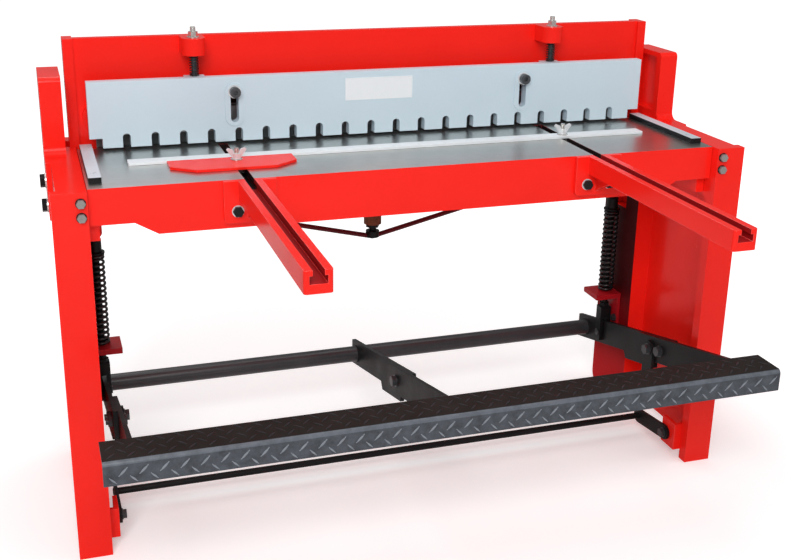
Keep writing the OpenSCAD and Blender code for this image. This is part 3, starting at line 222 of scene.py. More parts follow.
def add_group(name, inputs, outputs):
    """Shader node group with named sockets, and its two end nodes."""
    group = bpy.data.node_groups.new(name, "ShaderNodeTree")
    for label, kind, value in inputs:
        socket = group.interface.new_socket(name=label, in_out="INPUT", socket_type=kind)
        socket.default_value = value
    for label, kind in outputs:
        group.interface.new_socket(name=label, in_out="OUTPUT", socket_type=kind)
    return group, group.nodes.new("NodeGroupInput"), group.nodes.new("NodeGroupOutput")


def noise_node(group, vector, scale, detail=4.0, rough=0.55):
    """Noise whose scale is a number or comes from a socket."""
    noise = group.nodes.new("ShaderNodeTexNoise")
    noise.inputs["Detail"].default_value = detail
    noise.inputs["Roughness"].default_value = rough
    group.links.new(vector, noise.inputs["Vector"])
    if isinstance(scale, (int, float)):
        noise.inputs["Scale"].default_value = scale
    else:
        group.links.new(scale, noise.inputs["Scale"])
    return noise.outputs["Fac"]


def math_node(group, kind, a, b=0.0):
    """Math node between two numbers or sockets."""
    node = group.nodes.new("ShaderNodeMath")
    node.operation = kind
    for socket, value in zip(node.inputs, (a, b)):
        if isinstance(value, (int, float)):
            socket.default_value = value
        else:
            group.links.new(value, socket)
    return node.outputs[0]


def mix_colour(group, factor, a, b):
    """Mix of two colours, each a tuple or a socket."""
    node = group.nodes.new("ShaderNodeMix")
    node.data_type = "RGBA"
    group.links.new(factor, node.inputs[0])
    for index, value in ((6, a), (7, b)):
        if isinstance(value, tuple):
            node.inputs[index].default_value = value
        else:
            group.links.new(value, node.inputs[index])
    return node.outputs[2]


# %% Drift of tone: broad clouds and fine specks over a surface


def tone_drift_group():
    group, start, end = add_group(
        "tone_drift",
        [("Colour", "NodeSocketColor", (0.8, 0.8, 0.8, 1)), ("Shade", "NodeSocketColor", (0.4, 0.4, 0.4, 1)),
         ("Clouds", "NodeSocketFloat", 6.0), ("Amount", "NodeSocketFloat", 0.3)],
        [("Colour", "NodeSocketColor"), ("Mask", "NodeSocketFloat")])
    add, link = group.nodes.new, group.links.new
    place = add("ShaderNodeTexCoord").outputs["Object"]
    broad = noise_node(group, place, start.outputs["Clouds"], detail=5.0, rough=0.6)
    specks = noise_node(group, place, 160.0, detail=3.0, rough=0.7)
    mostly_broad = math_node(group, "MULTIPLY", broad, 0.75)
    few_specks = math_node(group, "MULTIPLY", specks, 0.25)
    joined = math_node(group, "ADD", mostly_broad, few_specks)
    spread = add("ShaderNodeMapRange")
    spread.inputs["From Min"].default_value = 0.38
    spread.inputs["From Max"].default_value = 0.66
    link(joined, spread.inputs["Value"])
    mask = math_node(group, "MULTIPLY", spread.outputs[0], start.outputs["Amount"])
    toned = mix_colour(group, mask, start.outputs["Colour"], start.outputs["Shade"])
    link(toned, end.inputs["Colour"])
    link(mask, end.inputs["Mask"])
    return group


tone_drift = tone_drift_group()
print("group", tone_drift.name)

# %% Casting skin: long ripples of filler and the fine peel of sprayed enamel


def casting_skin_group():
    group, start, end = add_group(
        "casting_skin",
        [("Ripple", "NodeSocketFloat", 0.2), ("Peel", "NodeSocketFloat", 0.2)],
        [("Normal", "NodeSocketVector")])
    add, link = group.nodes.new, group.links.new
    place = add("ShaderNodeTexCoord").outputs["Object"]
    ripple = noise_node(group, place, 14.0, detail=2.0, rough=0.5)
    peel = noise_node(group, place, 260.0, detail=2.0, rough=0.5)
    wide = add("ShaderNodeBump")
    wide.inputs["Distance"].default_value = 0.004
    fine = add("ShaderNodeBump")
    fine.inputs["Distance"].default_value = 0.0004
    link(ripple, wide.inputs["Height"])
    link(start.outputs["Ripple"], wide.inputs["Strength"])
    link(peel, fine.inputs["Height"])
    link(start.outputs["Peel"], fine.inputs["Strength"])
    link(wide.outputs["Normal"], fine.inputs["Normal"])
    link(fine.outputs["Normal"], end.inputs["Normal"])
    return group


casting_skin = casting_skin_group()
print("group", casting_skin.name)

# %% Grinding lay: noise drawn out along X, as the wheel's passes leave it


def grinding_lay_group():
    group, start, end = add_group(
        "grinding_lay",
        [("Stretch", "NodeSocketFloat", 40.0), ("Depth", "NodeSocketFloat", 0.2)],
        [("Lines", "NodeSocketFloat"), ("Normal", "NodeSocketVector")])
    add, link = group.nodes.new, group.links.new
    place = add("ShaderNodeTexCoord").outputs["Object"]
    longer = add("ShaderNodeMapping")
    link(place, longer.inputs["Vector"])
    scale = add("ShaderNodeCombineXYZ")
    scale.inputs["X"].default_value = 1.0
    link(start.outputs["Stretch"], scale.inputs["Y"])
    link(start.outputs["Stretch"], scale.inputs["Z"])
    link(scale.outputs[0], longer.inputs["Scale"])
    lines = noise_node(group, longer.outputs[0], 9.0, detail=6.0, rough=0.7)
    bump = add("ShaderNodeBump")
    bump.inputs["Distance"].default_value = 0.0003
    link(lines, bump.inputs["Height"])
    link(start.outputs["Depth"], bump.inputs["Strength"])
    link(lines, end.inputs["Lines"])
    link(bump.outputs["Normal"], end.inputs["Normal"])
    return group


grinding_lay = grinding_lay_group()
print("group", grinding_lay.name)

# %% [markdown]
# ## The finishes
#
# Each finish is one Principled shader. Its constants sit on the shader's own sockets,
# and only what changes over the surface comes from the groups. Colours are written as
# hex values of the lit photograph and turned into the linear numbers that Blender uses.

# %% Finish helpers


def from_hex(text):
    """Linear colour of a six-digit screen colour."""
    parts = [int(text[i:i + 2], 16) / 255 for i in (0, 2, 4)]
    return tuple(c / 12.92 if c <= 0.04045 else ((c + 0.055) / 1.055) ** 2.4 for c in parts) + (1.0,)


def start_finish(name, **sockets):
    """Material with one Principled shader, its tree and its shader."""
    material = bpy.data.materials.new(name)
    tree = new_tree(material)
    output = tree.nodes.new("ShaderNodeOutputMaterial")
    shader = tree.nodes.new("ShaderNodeBsdfPrincipled")
    tree.links.new(shader.outputs[0], output.inputs["Surface"])
    for label, value in sockets.items():
        shader.inputs[label.replace("_", " ")].default_value = value
    return material, tree, shader


def place_group(tree, group, **sockets):
    """Put a shared group into a material with its own values."""
    node = tree.nodes.new("ShaderNodeGroup")
    node.node_tree = group
    for label, value in sockets.items():
        node.inputs[label].default_value = value
    return node


def enamel(name, colour, shade, rough, coat, clouds=5.0, amount=0.35, ripple=0.1, peel=0.12, shine=0.5):
    """Sprayed enamel over a casting or a plate."""
    material, tree, shader = start_finish(
        name, Coat_Weight=coat, Coat_Roughness=0.16, Specular_IOR_Level=shine)
    tone = place_group(
        tree, tone_drift, Colour=from_hex(colour), Shade=from_hex(shade), Clouds=clouds, Amount=amount)
    skin = place_group(tree, casting_skin, Ripple=ripple, Peel=peel)
    gloss = math_node(tree, "ADD", math_node(tree, "MULTIPLY", tone.outputs["Mask"], 0.25), rough)
    tree.links.new(tone.outputs["Colour"], shader.inputs["Base Color"])
    tree.links.new(gloss, shader.inputs["Roughness"])
    tree.links.new(skin.outputs["Normal"], shader.inputs["Normal"])
    return material


def bare_metal(name, colour, shade, rough, stretch=40.0, depth=0.15, clouds=8.0, amount=0.5, metallic=1.0):
    """Bare metal with a straight lay and uneven gloss."""
    material, tree, shader = start_finish(name, Metallic=metallic)
    tone = place_group(
        tree, tone_drift, Colour=from_hex(colour), Shade=from_hex(shade), Clouds=clouds, Amount=amount)
    lay = place_group(tree, grinding_lay, Stretch=stretch, Depth=depth)
    uneven = math_node(tree, "MULTIPLY", lay.outputs["Lines"], 0.22)
    gloss = math_node(tree, "ADD", uneven, rough)
    share = math_node(tree, "MULTIPLY", lay.outputs["Lines"], 0.5)
    lined = mix_colour(tree, share, tone.outputs["Colour"], from_hex(shade))
    tree.links.new(lined, shader.inputs["Base Color"])
    tree.links.new(gloss, shader.inputs["Roughness"])
    tree.links.new(lay.outputs["Normal"], shader.inputs["Normal"])
    return material


# %% The machine's finishes
# How much relief a surface has: rolled or pressed plate, smooth paint, drawn wire, turned or ground metal
rolled, pressed = {"ripple": 0.1, "peel": 0.3}, {"ripple": 0.0, "peel": 0.2}
smooth, drawn = {"ripple": 0.0, "peel": 0.1}, {"ripple": 0.0, "peel": 0.3}
turned, ground = {"stretch": 3.0, "depth": 0.2}, {"stretch": 70.0, "depth": 0.06}

red_enamel = enamel(
    "red_enamel", "FF271D", "F01C16", 0.2, 0.05, amount=0.3, ripple=0.05, peel=0.08, shine=0.14)
maroon_enamel = enamel("maroon_enamel", "64101A", "3E0C10", 0.4, 0.05, shine=0.2)
# Painted shade: the spring brackets under the table get a darker copy of the red enamel
bracket_shaded_enamel = enamel("bracket_shaded_enamel", "B41620", "7A1018", 0.42, 0.05, shine=0.2)
strut_brown = enamel("strut_brown", "8C5A3C", "5A3426", 0.5, 0.0, clouds=30.0, amount=0.8, shine=0.2)
grey_enamel = enamel("grey_enamel", "CEDFE9", "C2D4DF", 0.45, 0.08, shine=0.3, **smooth)
black_enamel = enamel(
    "black_enamel", "111112", "1C1C1E", 0.42, 0.05, clouds=9.0, amount=0.6, shine=0.2, **rolled)
shaft_black = enamel("shaft_black", "2A2B2E", "3A3B3E", 0.34, 0.2, clouds=9.0, amount=0.6, **rolled)
tread_enamel = enamel(
    "tread_enamel", "4B5159", "2B2E34", 0.4, 0.15, clouds=38.0, amount=0.9, shine=0.4, **rolled)
# Painted highlight: the fold between the board's front and top is painted lighter
tread_bend_highlight = enamel("tread_bend_highlight", "676D76", "4A4F57", 0.36, 0.2, clouds=38.0, amount=0.8, shine=0.4, **pressed)
# Crests of the front bars: lighter, partly from wear by boots and partly as a painted highlight
tread_crest_wear_and_highlight = enamel("tread_crest_wear_and_highlight", "848A93", "646A72", 0.34, 0.2, clouds=30.0, amount=0.5, **pressed)
tread_grime = enamel(
    "tread_grime", "292725", "353230", 0.55, 0.0, clouds=16.0, amount=0.7, shine=0.06, **rolled)
# Crests of the top bars: lighter, partly from wear and partly as a painted highlight
grime_crest_wear_and_highlight = enamel(
    "grime_crest_wear_and_highlight", "33353A", "26272A", 0.45, 0.0, clouds=30.0, amount=0.6, shine=0.2, **pressed)
slot_shade = enamel("slot_shade", "1E1416", "2A1A1C", 0.7, 0.0, shine=0.1, **smooth)
slot_red = enamel("slot_red", "A81418", "80100F", 0.5, 0.0, shine=0.15, **smooth)
# Painted shade: the nearly black red of the rear columns' inner wall under the table
column_shade = enamel("column_shade", "4E0B10", "2C0608", 0.55, 0.0, clouds=7.0, amount=0.6, shine=0.08)
seat_grey = enamel("seat_grey", "7C8588", "5C6466", 0.5, 0.0, shine=0.3, **smooth)
ground_steel = bare_metal("ground_steel", "D3D3D0", "B2B2AE", 0.2, stretch=60.0, depth=0.06)
blade_steel = bare_metal("blade_steel", "9DA0A1", "75787A", 0.3, stretch=90.0, depth=0.08)
bar_steel = bare_metal("bar_steel", "F4F7FA", "E2E6EA", 0.36, metallic=0.2, **ground)
gauge_steel = bare_metal("gauge_steel", "D8E2EA", "C2CCD4", 0.4, metallic=0.25, **ground)
zinc_plate = bare_metal("zinc_plate", "EDEDEA", "BDBBB5", 0.15, clouds=30.0, metallic=0.8, **turned)
nut_plate = bare_metal("nut_plate", "F4F6F8", "D4D8DB", 0.2, clouds=30.0, metallic=0.3, **turned)
bronze_metal = bare_metal("bronze_metal", "A9854A", "7C5E30", 0.36)
spring_black = enamel(
    "spring_black", "141416", "222325", 0.36, 0.2, clouds=40.0, amount=0.6, shine=0.5, **drawn)
dark_bolts = enamel("dark_bolts", "43464A", "62666A", 0.34, 0.1, clouds=60.0, amount=0.8, **drawn)
dark_bolts.node_tree.nodes["Principled BSDF"].inputs["Metallic"].default_value = 0.5
steel_bolts = bare_metal("steel_bolts", "A6A29F", "7E7A77", 0.34, clouds=40.0, metallic=0.4, **turned)
# Painted highlight: the rounded edges are slightly lighter and pinker than the red enamel, and glossier
red_edge_highlight = enamel("red_edge_highlight", "FF3028", "FF241C", 0.22, 0.6, amount=0.2, ripple=0.0, peel=0.05, shine=0.6)

# The painted shade on the columns is deepest under the table and fades toward the floor
shade_tree = column_shade.node_tree
height = shade_tree.nodes.new("ShaderNodeSeparateXYZ")
shade_tree.links.new(shade_tree.nodes.new("ShaderNodeTexCoord").outputs["Object"], height.inputs[0])
shade_fading = shade_tree.nodes.new("ShaderNodeMapRange")
shade_deep_z, shade_gone_z = 0.34, 0.08
shade_fading.inputs["From Min"].default_value = shade_deep_z
shade_fading.inputs["From Max"].default_value = shade_gone_z
shade_tree.links.new(height.outputs["Z"], shade_fading.inputs["Value"])
shade_base = shade_tree.nodes["Principled BSDF"].inputs["Base Color"]
shade_tone = shade_base.links[0].from_socket
shade_faded = mix_colour(shade_tree, shade_fading.outputs[0], shade_tone, from_hex("C4161C"))
shade_tree.links.new(shade_faded, shade_base)
print("finishes", [m.name for m in bpy.data.materials])

# %% [markdown]
# ## Softened castings and plates
#
# CAD edges are perfectly sharp, and nothing on a real machine is. Each node is copied,
# its loose triangles are joined, flat areas are merged, and a bevel rounds the edges:
# a few millimetres on a casting, and a fraction of one on a ground blade.

# %% Copy a node with rounded edges
smooth_angle, flat_angle, weld_gap = radians(32), radians(0.6), 0.02 * MM


def merge_flats(mesh):
    """Weld the mesh and merge triangles that lie in one plane."""
    shape = bmesh.new()
    shape.from_mesh(mesh)
    bmesh.ops.remove_doubles(shape, verts=shape.verts, dist=weld_gap)
    bmesh.ops.dissolve_limit(shape, angle_limit=flat_angle, verts=shape.verts, edges=shape.edges)
    shape.to_mesh(mesh)
    shape.free()
    return mesh


def clean_copy(node):
    """The node's mesh as one clean surface."""
    mesh = frame["nodes"][node].data.copy()
    mesh.name = node + "_dressed"
    return merge_flats(mesh)


def fused_copy(*nodes):
    """One casting out of nodes that meet face to face."""
    parts = [add_object(node + "_part", clean_copy(node)) for node in nodes]
    for other in parts[1:]:
        weld = parts[0].modifiers.new("weld", "BOOLEAN")
        weld.operation, weld.solver, weld.object = "UNION", "EXACT", other
    done = parts[0].evaluated_get(bpy.context.evaluated_depsgraph_get())
    mesh = bpy.data.meshes.new_from_object(done)
    for part in parts:
        bpy.data.objects.remove(part)
    return merge_flats(mesh)


def round_edges(piece, radius, steps):
    """Bevel the sharp edges and keep the flats flat under smooth shading."""
    bevel = piece.modifiers.new("rounded", "BEVEL")
    bevel.width, bevel.segments = radius, steps
    bevel.limit_method, bevel.angle_limit = "ANGLE", smooth_angle
    bevel.use_clamp_overlap = True
    bevel.face_strength_mode = "FSTR_AFFECTED"
    piece.data.shade_smooth()
    flat = piece.modifiers.new("flats", "WEIGHTED_NORMAL")
    flat.weight, flat.use_face_influence = 100, True


def shine_edges(piece, material):
    """Glossier finish on the rounded edges, where the enamel is thick and catches the light, in a slightly
    lighter red that is a painted highlight.
    """
    piece.data.materials.append(material)
    piece.modifiers["rounded"].material = len(piece.data.materials) - 1


def dress(node, material, radius=0.6 * MM, steps=2, mesh=None):
    """Softened copy that stands for a node."""
    piece = add_object(node + "_dressed", mesh or clean_copy(node), material)
    round_edges(piece, radius, steps)
    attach(piece, body_of[node])
    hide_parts(node)
    return piece


bodies = frame["record"]["behaviour"]["bodies"]
body_of = {node: body for body, nodes in bodies.items() for node in nodes}

# %% Castings in red enamel, with the radius of their edges in millimetres
casting_radius = {
    "left_ram_slide": 1.5, "right_ram_slide": 1.5, "stretcher_brackets": 1.0, "stop_plate": 0.8}
for node, radius in casting_radius.items():
    shine_edges(dress(node, red_enamel, radius * MM, 3), red_edge_highlight)
# The spring brackets take the darker red, a painted shade
for node in ("left_spring_bracket", "right_spring_bracket"):
    dress(node, bracket_shaded_enamel, 1.2 * MM, 3)
dress("hold_down_plate", grey_enamel, 1.2 * MM, 3)
print("castings dressed", list(casting_radius))

# %% Bare and blackened steel
steel_finish = {
    "lower_blade": blade_steel, "upper_blade": blade_steel, "front_gauge_bar": bar_steel,
    "guide_gibs": bronze_metal, "gauge_t_bolts": zinc_plate,
    "wing_nut_left": nut_plate, "wing_nut_right": nut_plate, "clevis_pins": shaft_black,
    "treadle_shaft": shaft_black, "rear_treadle_arms": black_enamel, "front_treadle_arms": black_enamel,
    "joint_plates": black_enamel, "pivot_blocks": black_enamel, "stretcher_links": black_enamel,
    "stretcher_bar": black_enamel, "clevises": black_enamel, "spring_collars": black_enamel,
    "tie_rods": black_enamel, "truss_rod": maroon_enamel, "truss_screw": black_enamel,
    "ram_slide_bolts": red_enamel, "side_gauge_screws": gauge_steel, "spring_bracket_bolts": shaft_black,
    "stretcher_link_bolts": shaft_black, "arm_joint_bolts": shaft_black,
}
for node, finish in steel_finish.items():
    dress(node, finish)
fasteners = [
    "lower_blade_screws", "gib_screws", "pivot_block_bolts", "stretcher_bracket_bolts", "upper_blade_screws",
]
for node in fasteners:
    dress(node, dark_bolts)
print("steel pieces", len(steel_finish), "fastener groups", len(fasteners))

# %% [markdown]
# ## Washers that differ from their heads
#
# A blackened bolt on a zinc-plated washer shows as a dark head in a light ring, and a
# bare head on a dark washer the other way round. Both are one node here, so a second
# material goes on the polygons that lie wholly inside the washer's thin layer.

# %% Second material inside a box


def give_inside(piece, material, low, high):
    """Further material on the polygons that lie wholly inside a box."""
    piece.data.materials.append(material)
    index = len(piece.data.materials) - 1
    points = piece.data.vertices
    count = 0
    for face in piece.data.polygons:
        corners = [points[i].co for i in face.vertices]
        if all(low[k] <= c[k] <= high[k] for c in corners for k in range(3)):
            face.material_index = index
            count += 1
    return count


# A box that must hold a whole face is a little larger than the face, and open sides end past the machine
edge_slack, past = 0.1 * MM, 2.0
# How far the washer's two faces lie behind the front of the bolt's head, in millimetres
washer_layer = {
    "table_post_bolts": (6.5, 8.5, steel_bolts, black_enamel),
    "support_arm_bolts": (7.8, 10.2, black_enamel, nut_plate),
    "hold_down_guide_screws": (14.0, 17.0, dark_bolts, nut_plate)}
for node, (near, far, head, ring) in washer_layer.items():
    bolts = dress(node, head, 0.4 * MM)
    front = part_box(node)[0].y
    layer = ((-past, front + near * MM - edge_slack, -past), (past, front + far * MM + edge_slack, past))
    print(node, "washer faces", give_inside(bolts, ring, *layer))

# %% Spring bolts of the hold-down: bright at the upper end, with a painted shade on the stud inside the spring
spring_bolts, stud_shaded_to = dress("hold_down_bolts", zinc_plate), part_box("ram")[1].z + MM
stud_x, stud_y, stud_reach = 440 * MM, 356 * MM, 7 * MM
# Painted shade: the stud inside the spring takes the dark bolt finish, as the coils shade it
for x in (-stud_x, stud_x):
    stud_box = ((x - stud_reach, stud_y - stud_reach, 0), (x + stud_reach, stud_y + stud_reach, stud_shaded_to))
    print("stud faces", give_inside(spring_bolts, dark_bolts, *stud_box))

# %% The table's side bolts stand across the machine, so their washers are layers along X
side_washer_out, side_washer_in = 10.3 * MM, 13.7 * MM
bolts, edge = dress("table_side_bolts", black_enamel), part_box("table_side_bolts")[1].x
for side in (-1, 1):
    reach = sorted((side * (edge - side_washer_out), side * (edge - side_washer_in)))
    layer = ((reach[0], -past, -past), (reach[1], past, past))
    print("side washer faces", give_inside(bolts, zinc_plate, *layer))

# %% [markdown]
# ## The table
#
# The table is one casting: its sides are enamelled, and its face is ground bare so that
# a sheet slides on it. The two finishes meet at the edge of the face, so the polygons
# that lie on top and look up get the second material.

# %% Table with a ground face
table_face_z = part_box("work_table")[1].z
looks_up, same_height = 0.95, 0.5 * MM


def give_top(piece, material, height):
    """Second material on the polygons that lie at a height and look up."""
    piece.data.materials.append(material)
    count = 0
    for face in piece.data.polygons:
        if face.normal.z > looks_up and abs(face.center.z - height) < same_height:
            face.material_index = 1
            count += 1
    return count


# The top, apron, beam and ribs are one casting, so the faces where they meet vanish
under_parts = ("table_apron", "table_beam", "table_ribs")
table_mesh = fused_copy("work_table", *under_parts)
table_piece = dress("work_table", red_enamel, 1.2 * MM, 2, table_mesh)
for node in under_parts:
    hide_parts(node)
print("ground faces", give_top(table_piece, ground_steel, table_face_z))
shine_edges(table_piece, red_edge_highlight)

# %% [markdown]
# ## The ram
#
# The blade bolts to a bare seat on the ram's front, and the strut that carries the truss
# screw is brown. The casting is cut along the seat's outline first, so
# that whole polygons can take the second and third finish.

# %% Cut a mesh along planes


def cut_along(shape, places, across, geometry=None):
    """Cut a shape by planes through the places, so that faces end there."""
    for place in places:
        cut = geometry or [*shape.verts, *shape.edges, *shape.faces]
        bmesh.ops.bisect_plane(shape, geom=cut, plane_co=place, plane_no=across)


# %% Ram with a bare seat for the blade
blade_low, blade_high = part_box("upper_blade")
guide_low, guide_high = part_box("hold_down_guide_screws")
guide_x, shade_half = guide_high.x - (guide_high.z - guide_low.z) / 2, 34 * MM
ram_front_y, seat_low_z, seat_top_z = 398 * MM, 600 * MM, blade_high.z + 2 * MM
shade_top_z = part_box("hold_down_plate")[1].z - 20 * MM
shade_edges = [side * guide_x + reach for side in (-1, 1) for reach in (-shade_half, shade_half)]
ram_mesh = fused_copy("ram", "ram_flange", "ram_ribs")
shape = bmesh.new()
shape.from_mesh(ram_mesh)
cut_along(shape, [(0, 0, seat_top_z)], (0, 0, 1))
cut_along(shape, [(edge, 0, 0) for edge in (blade_low.x, blade_high.x, *shade_edges)], (1, 0, 0))
cut_along(shape, [(0, 0, shade_top_z)], (0, 0, 1))
shape.to_mesh(ram_mesh)
shape.free()
ram_piece = dress("ram", red_enamel, 2 * MM, 3, ram_mesh)
for node in ("ram_flange", "ram_ribs"):
    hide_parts(node)
shine_edges(ram_piece, red_edge_highlight)


def front_patch(low_x, high_x, low_z, high_z):
    """Box round a stretch of the ram's front face."""
    return ((low_x - edge_slack, ram_front_y - edge_slack, low_z - edge_slack),
            (high_x + edge_slack, ram_front_y + edge_slack, high_z + edge_slack))


seat = front_patch(blade_low.x, blade_high.x, seat_low_z, seat_top_z)
print("seat faces", give_inside(ram_piece, seat_grey, *seat))
strut_half, strut_high = 22.5 * MM, 129 * MM
strut = ((-strut_half, 380 * MM, 0), (strut_half, 440 * MM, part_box("ram")[0].z + strut_high))
print("strut faces", give_inside(ram_piece, strut_brown, *strut))
# No light gets behind the hold-down, so the enamel seen through its screw slots is dark
for x in (-guide_x, guide_x):
    behind_slot = front_patch(x - shade_half, x + shade_half, seat_top_z, shade_top_z)
    print("shaded faces", give_inside(ram_piece, slot_shade, *behind_slot))

# %% [markdown]
# ## The side frames
#
# Each side frame is one casting. Under the table the inner wall of its rear column gets
# no light, and a painted shade turns the red nearly black there. Only that wall is cut
# at the column's front corner, and takes the painted shade.

# %% Side frames with a painted shade on the column wall
column_front_y = 328 * MM
for node in ("left_side_frame", "right_side_frame"):
    low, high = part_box(node)
    wall_x = min(low.x, high.x, key=abs)
    frame_mesh = clean_copy(node)
    shape = bmesh.new()
    shape.from_mesh(frame_mesh)
    inner = [face for face in shape.faces if all(abs(v.co.x - wall_x) < edge_slack for v in face.verts)]
    around = dict.fromkeys(item for face in inner for item in (*face.verts, *face.edges))
    cut_along(shape, [(0, column_front_y, 0)], (0, 1, 0), [*around, *inner])
    shape.to_mesh(frame_mesh)
    shape.free()
    side_frame = dress(node, red_enamel, 3 * MM, 3, frame_mesh)
    shine_edges(side_frame, red_edge_highlight)
    wall = ((wall_x - edge_slack, column_front_y - edge_slack, -past), (wall_x + edge_slack, past, past))
    print(node, "column wall faces", give_inside(side_frame, column_shade, *wall))

# %% [markdown]
# ## Slots and side gauges
#
# The T-slots run through the table and on through the support arms. Their walls see
# little light, so they are darker than the outer faces. The side gauges square the sheet
# against the blade: they are ground on top and blackened on the sides.

# %% Dark T-slots in the table and the arms
slot_half, slot_deep = 15.7 * MM, 24.2 * MM
for node in ("left_support_arm", "right_support_arm"):
    low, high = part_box(node)
    middle_x = (low.x + high.x) / 2
    inside = ((middle_x - slot_half, -past, table_face_z - slot_deep),
              (middle_x + slot_half, past, table_face_z + MM))
    arm = dress(node, red_enamel, 1.6 * MM, 3)
    shine_edges(arm, red_edge_highlight)
    print(node, "slot faces", give_inside(arm, slot_red, *inside))
    print("table's slot faces", give_inside(table_piece, slot_shade, *inside))

# %% Side gauges: ground on top, blackened on the sides
for node in ("left_side_gauge", "right_side_gauge"):
    gauge = dress(node, black_enamel)
    print(node, "top faces", give_top(gauge, gauge_steel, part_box(node)[1].z))

# %% [markdown]
# ## Wound springs
#
# A compression spring is a wire that climbs steadily, with its first and last turn laid
# flat on the seats. The rule is short, so Geometry Nodes draw it: a line is bent into a
# helix whose height follows three stretches, and a round profile is swept along it.

# %% Geometry Nodes helpers


def add_tree(name, inputs):
    """Geometry node tree with named inputs, and its end nodes."""
    tree = bpy.data.node_groups.new(name, "GeometryNodeTree")
    tree.interface.new_socket(name="Geometry", in_out="OUTPUT", socket_type="NodeSocketGeometry")
    for label, kind, value in inputs:
        socket = tree.interface.new_socket(name=label, in_out="INPUT", socket_type=kind)
        if value is not None:
            socket.default_value = value
    return tree, tree.nodes.new("NodeGroupInput"), tree.nodes.new("NodeGroupOutput")


def grow(name, tree, values, material):
    """Run a tree on an empty mesh and keep the result as a plain mesh object."""
    holder = add_object(name + "_holder", bpy.data.meshes.new(name + "_seed"))
    modifier = holder.modifiers.new("grown", "NODES")
    modifier.node_group = tree
    for item in tree.interface.items_tree:
        if item.in_out == "INPUT" and item.name in values:
            modifier[item.identifier] = values[item.name]
    done = holder.evaluated_get(bpy.context.evaluated_depsgraph_get())
    mesh = bpy.data.meshes.new_from_object(done)
    bpy.data.objects.remove(holder)
    return add_object(name, mesh, material)


def finish_tree(tree, start, end, geometry):
    """Move the shape to its place, give it its finish, and return the socket that turns it."""
    add, link = tree.nodes.new, tree.links.new
    moved = add("GeometryNodeTransform")
    real = add("GeometryNodeRealizeInstances")
    painted = add("GeometryNodeSetMaterial")
    link(geometry, moved.inputs["Geometry"])
    link(start.outputs["Place"], moved.inputs["Translation"])
    link(moved.outputs[0], real.inputs[0])
    link(real.outputs[0], painted.inputs["Geometry"])
    link(start.outputs["Finish"], painted.inputs["Material"])
    link(painted.outputs[0], end.inputs["Geometry"])
    return moved.inputs["Rotation"]


# %% The spring tree


def spring_tree():
    tree, start, end = add_tree("wound_spring", [
        ("Radius", "NodeSocketFloat", 0.02), ("Wire", "NodeSocketFloat", 0.005),
        ("Length", "NodeSocketFloat", 0.2), ("Turns", "NodeSocketFloat", 10.0),
        ("Place", "NodeSocketVector", (0, 0, 0)), ("Steps", "NodeSocketInt", 240),
        ("Finish", "NodeSocketMaterial", None)])
    add, link = tree.nodes.new, tree.links.new
    line = add("GeometryNodeCurvePrimitiveLine")
    evenly = add("GeometryNodeResampleCurve")
    link(line.outputs[0], evenly.inputs["Curve"])
    link(start.outputs["Steps"], evenly.inputs["Count"])
    along = add("GeometryNodeSplineParameter").outputs["Factor"]
    radius, wire, turns = (start.outputs[label] for label in ("Radius", "Wire", "Turns"))
    calc = partial(math_node, tree)
    turn_now = calc("MULTIPLY", along, turns)
    angle = calc("MULTIPLY", turn_now, 2 * pi)
    x = calc("MULTIPLY", calc("COSINE", angle), radius)
    y = calc("MULTIPLY", calc("SINE", angle), radius)
    # Height: one flat turn, the open turns, and one flat turn again
    first = calc("MINIMUM", turn_now, 1.0)
    last = calc("MAXIMUM", calc("SUBTRACT", turn_now, calc("SUBTRACT", turns, 1.0)))
    opened = calc("SUBTRACT", calc("SUBTRACT", turn_now, first), last)
    spare = calc("SUBTRACT", start.outputs["Length"], calc("MULTIPLY", wire, 3.0))
    pitch = calc("DIVIDE", spare, calc("SUBTRACT", turns, 2.0))
    flat = calc("MULTIPLY", calc("ADD", first, last), wire)
    rise = calc("ADD", flat, calc("MULTIPLY", opened, pitch))
    z = calc("ADD", rise, calc("MULTIPLY", wire, 0.5))
    point = add("ShaderNodeCombineXYZ")
    for value, label in ((x, "X"), (y, "Y"), (z, "Z")):
        link(value, point.inputs[label])
    bend = add("GeometryNodeSetPosition")
    link(evenly.outputs[0], bend.inputs["Geometry"])
    link(point.outputs[0], bend.inputs["Position"])
    profile = add("GeometryNodeCurvePrimitiveCircle")
    profile.inputs["Resolution"].default_value = 10
    link(calc("MULTIPLY", wire, 0.5), profile.inputs["Radius"])
    sweep = add("GeometryNodeCurveToMesh")
    sweep.inputs["Fill Caps"].default_value = True
    link(bend.outputs[0], sweep.inputs["Curve"])
    link(profile.outputs["Curve"], sweep.inputs["Profile Curve"])
    finish_tree(tree, start, end, sweep.outputs[0])
    return tree


wound_spring = spring_tree()


def box_middle(node):
    """Middle of a node's box, and its size."""
    low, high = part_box(node)
    return (low + high) / 2, high - low


def wind_spring(node, wire, turns, steps_per_turn=26):
    """Spring of the node's own size, wound in its place."""
    centre, size = box_middle(node)
    piece = grow(node + "_wound", wound_spring, {
        "Radius": (size.x - wire) / 2, "Wire": wire, "Length": size.z, "Turns": float(turns),
        "Place": (centre.x, centre.y, centre.z - size.z / 2), "Steps": int(turns * steps_per_turn),
        "Finish": spring_black}, spring_black)
    piece.data.shade_smooth()
    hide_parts(node)
    return piece


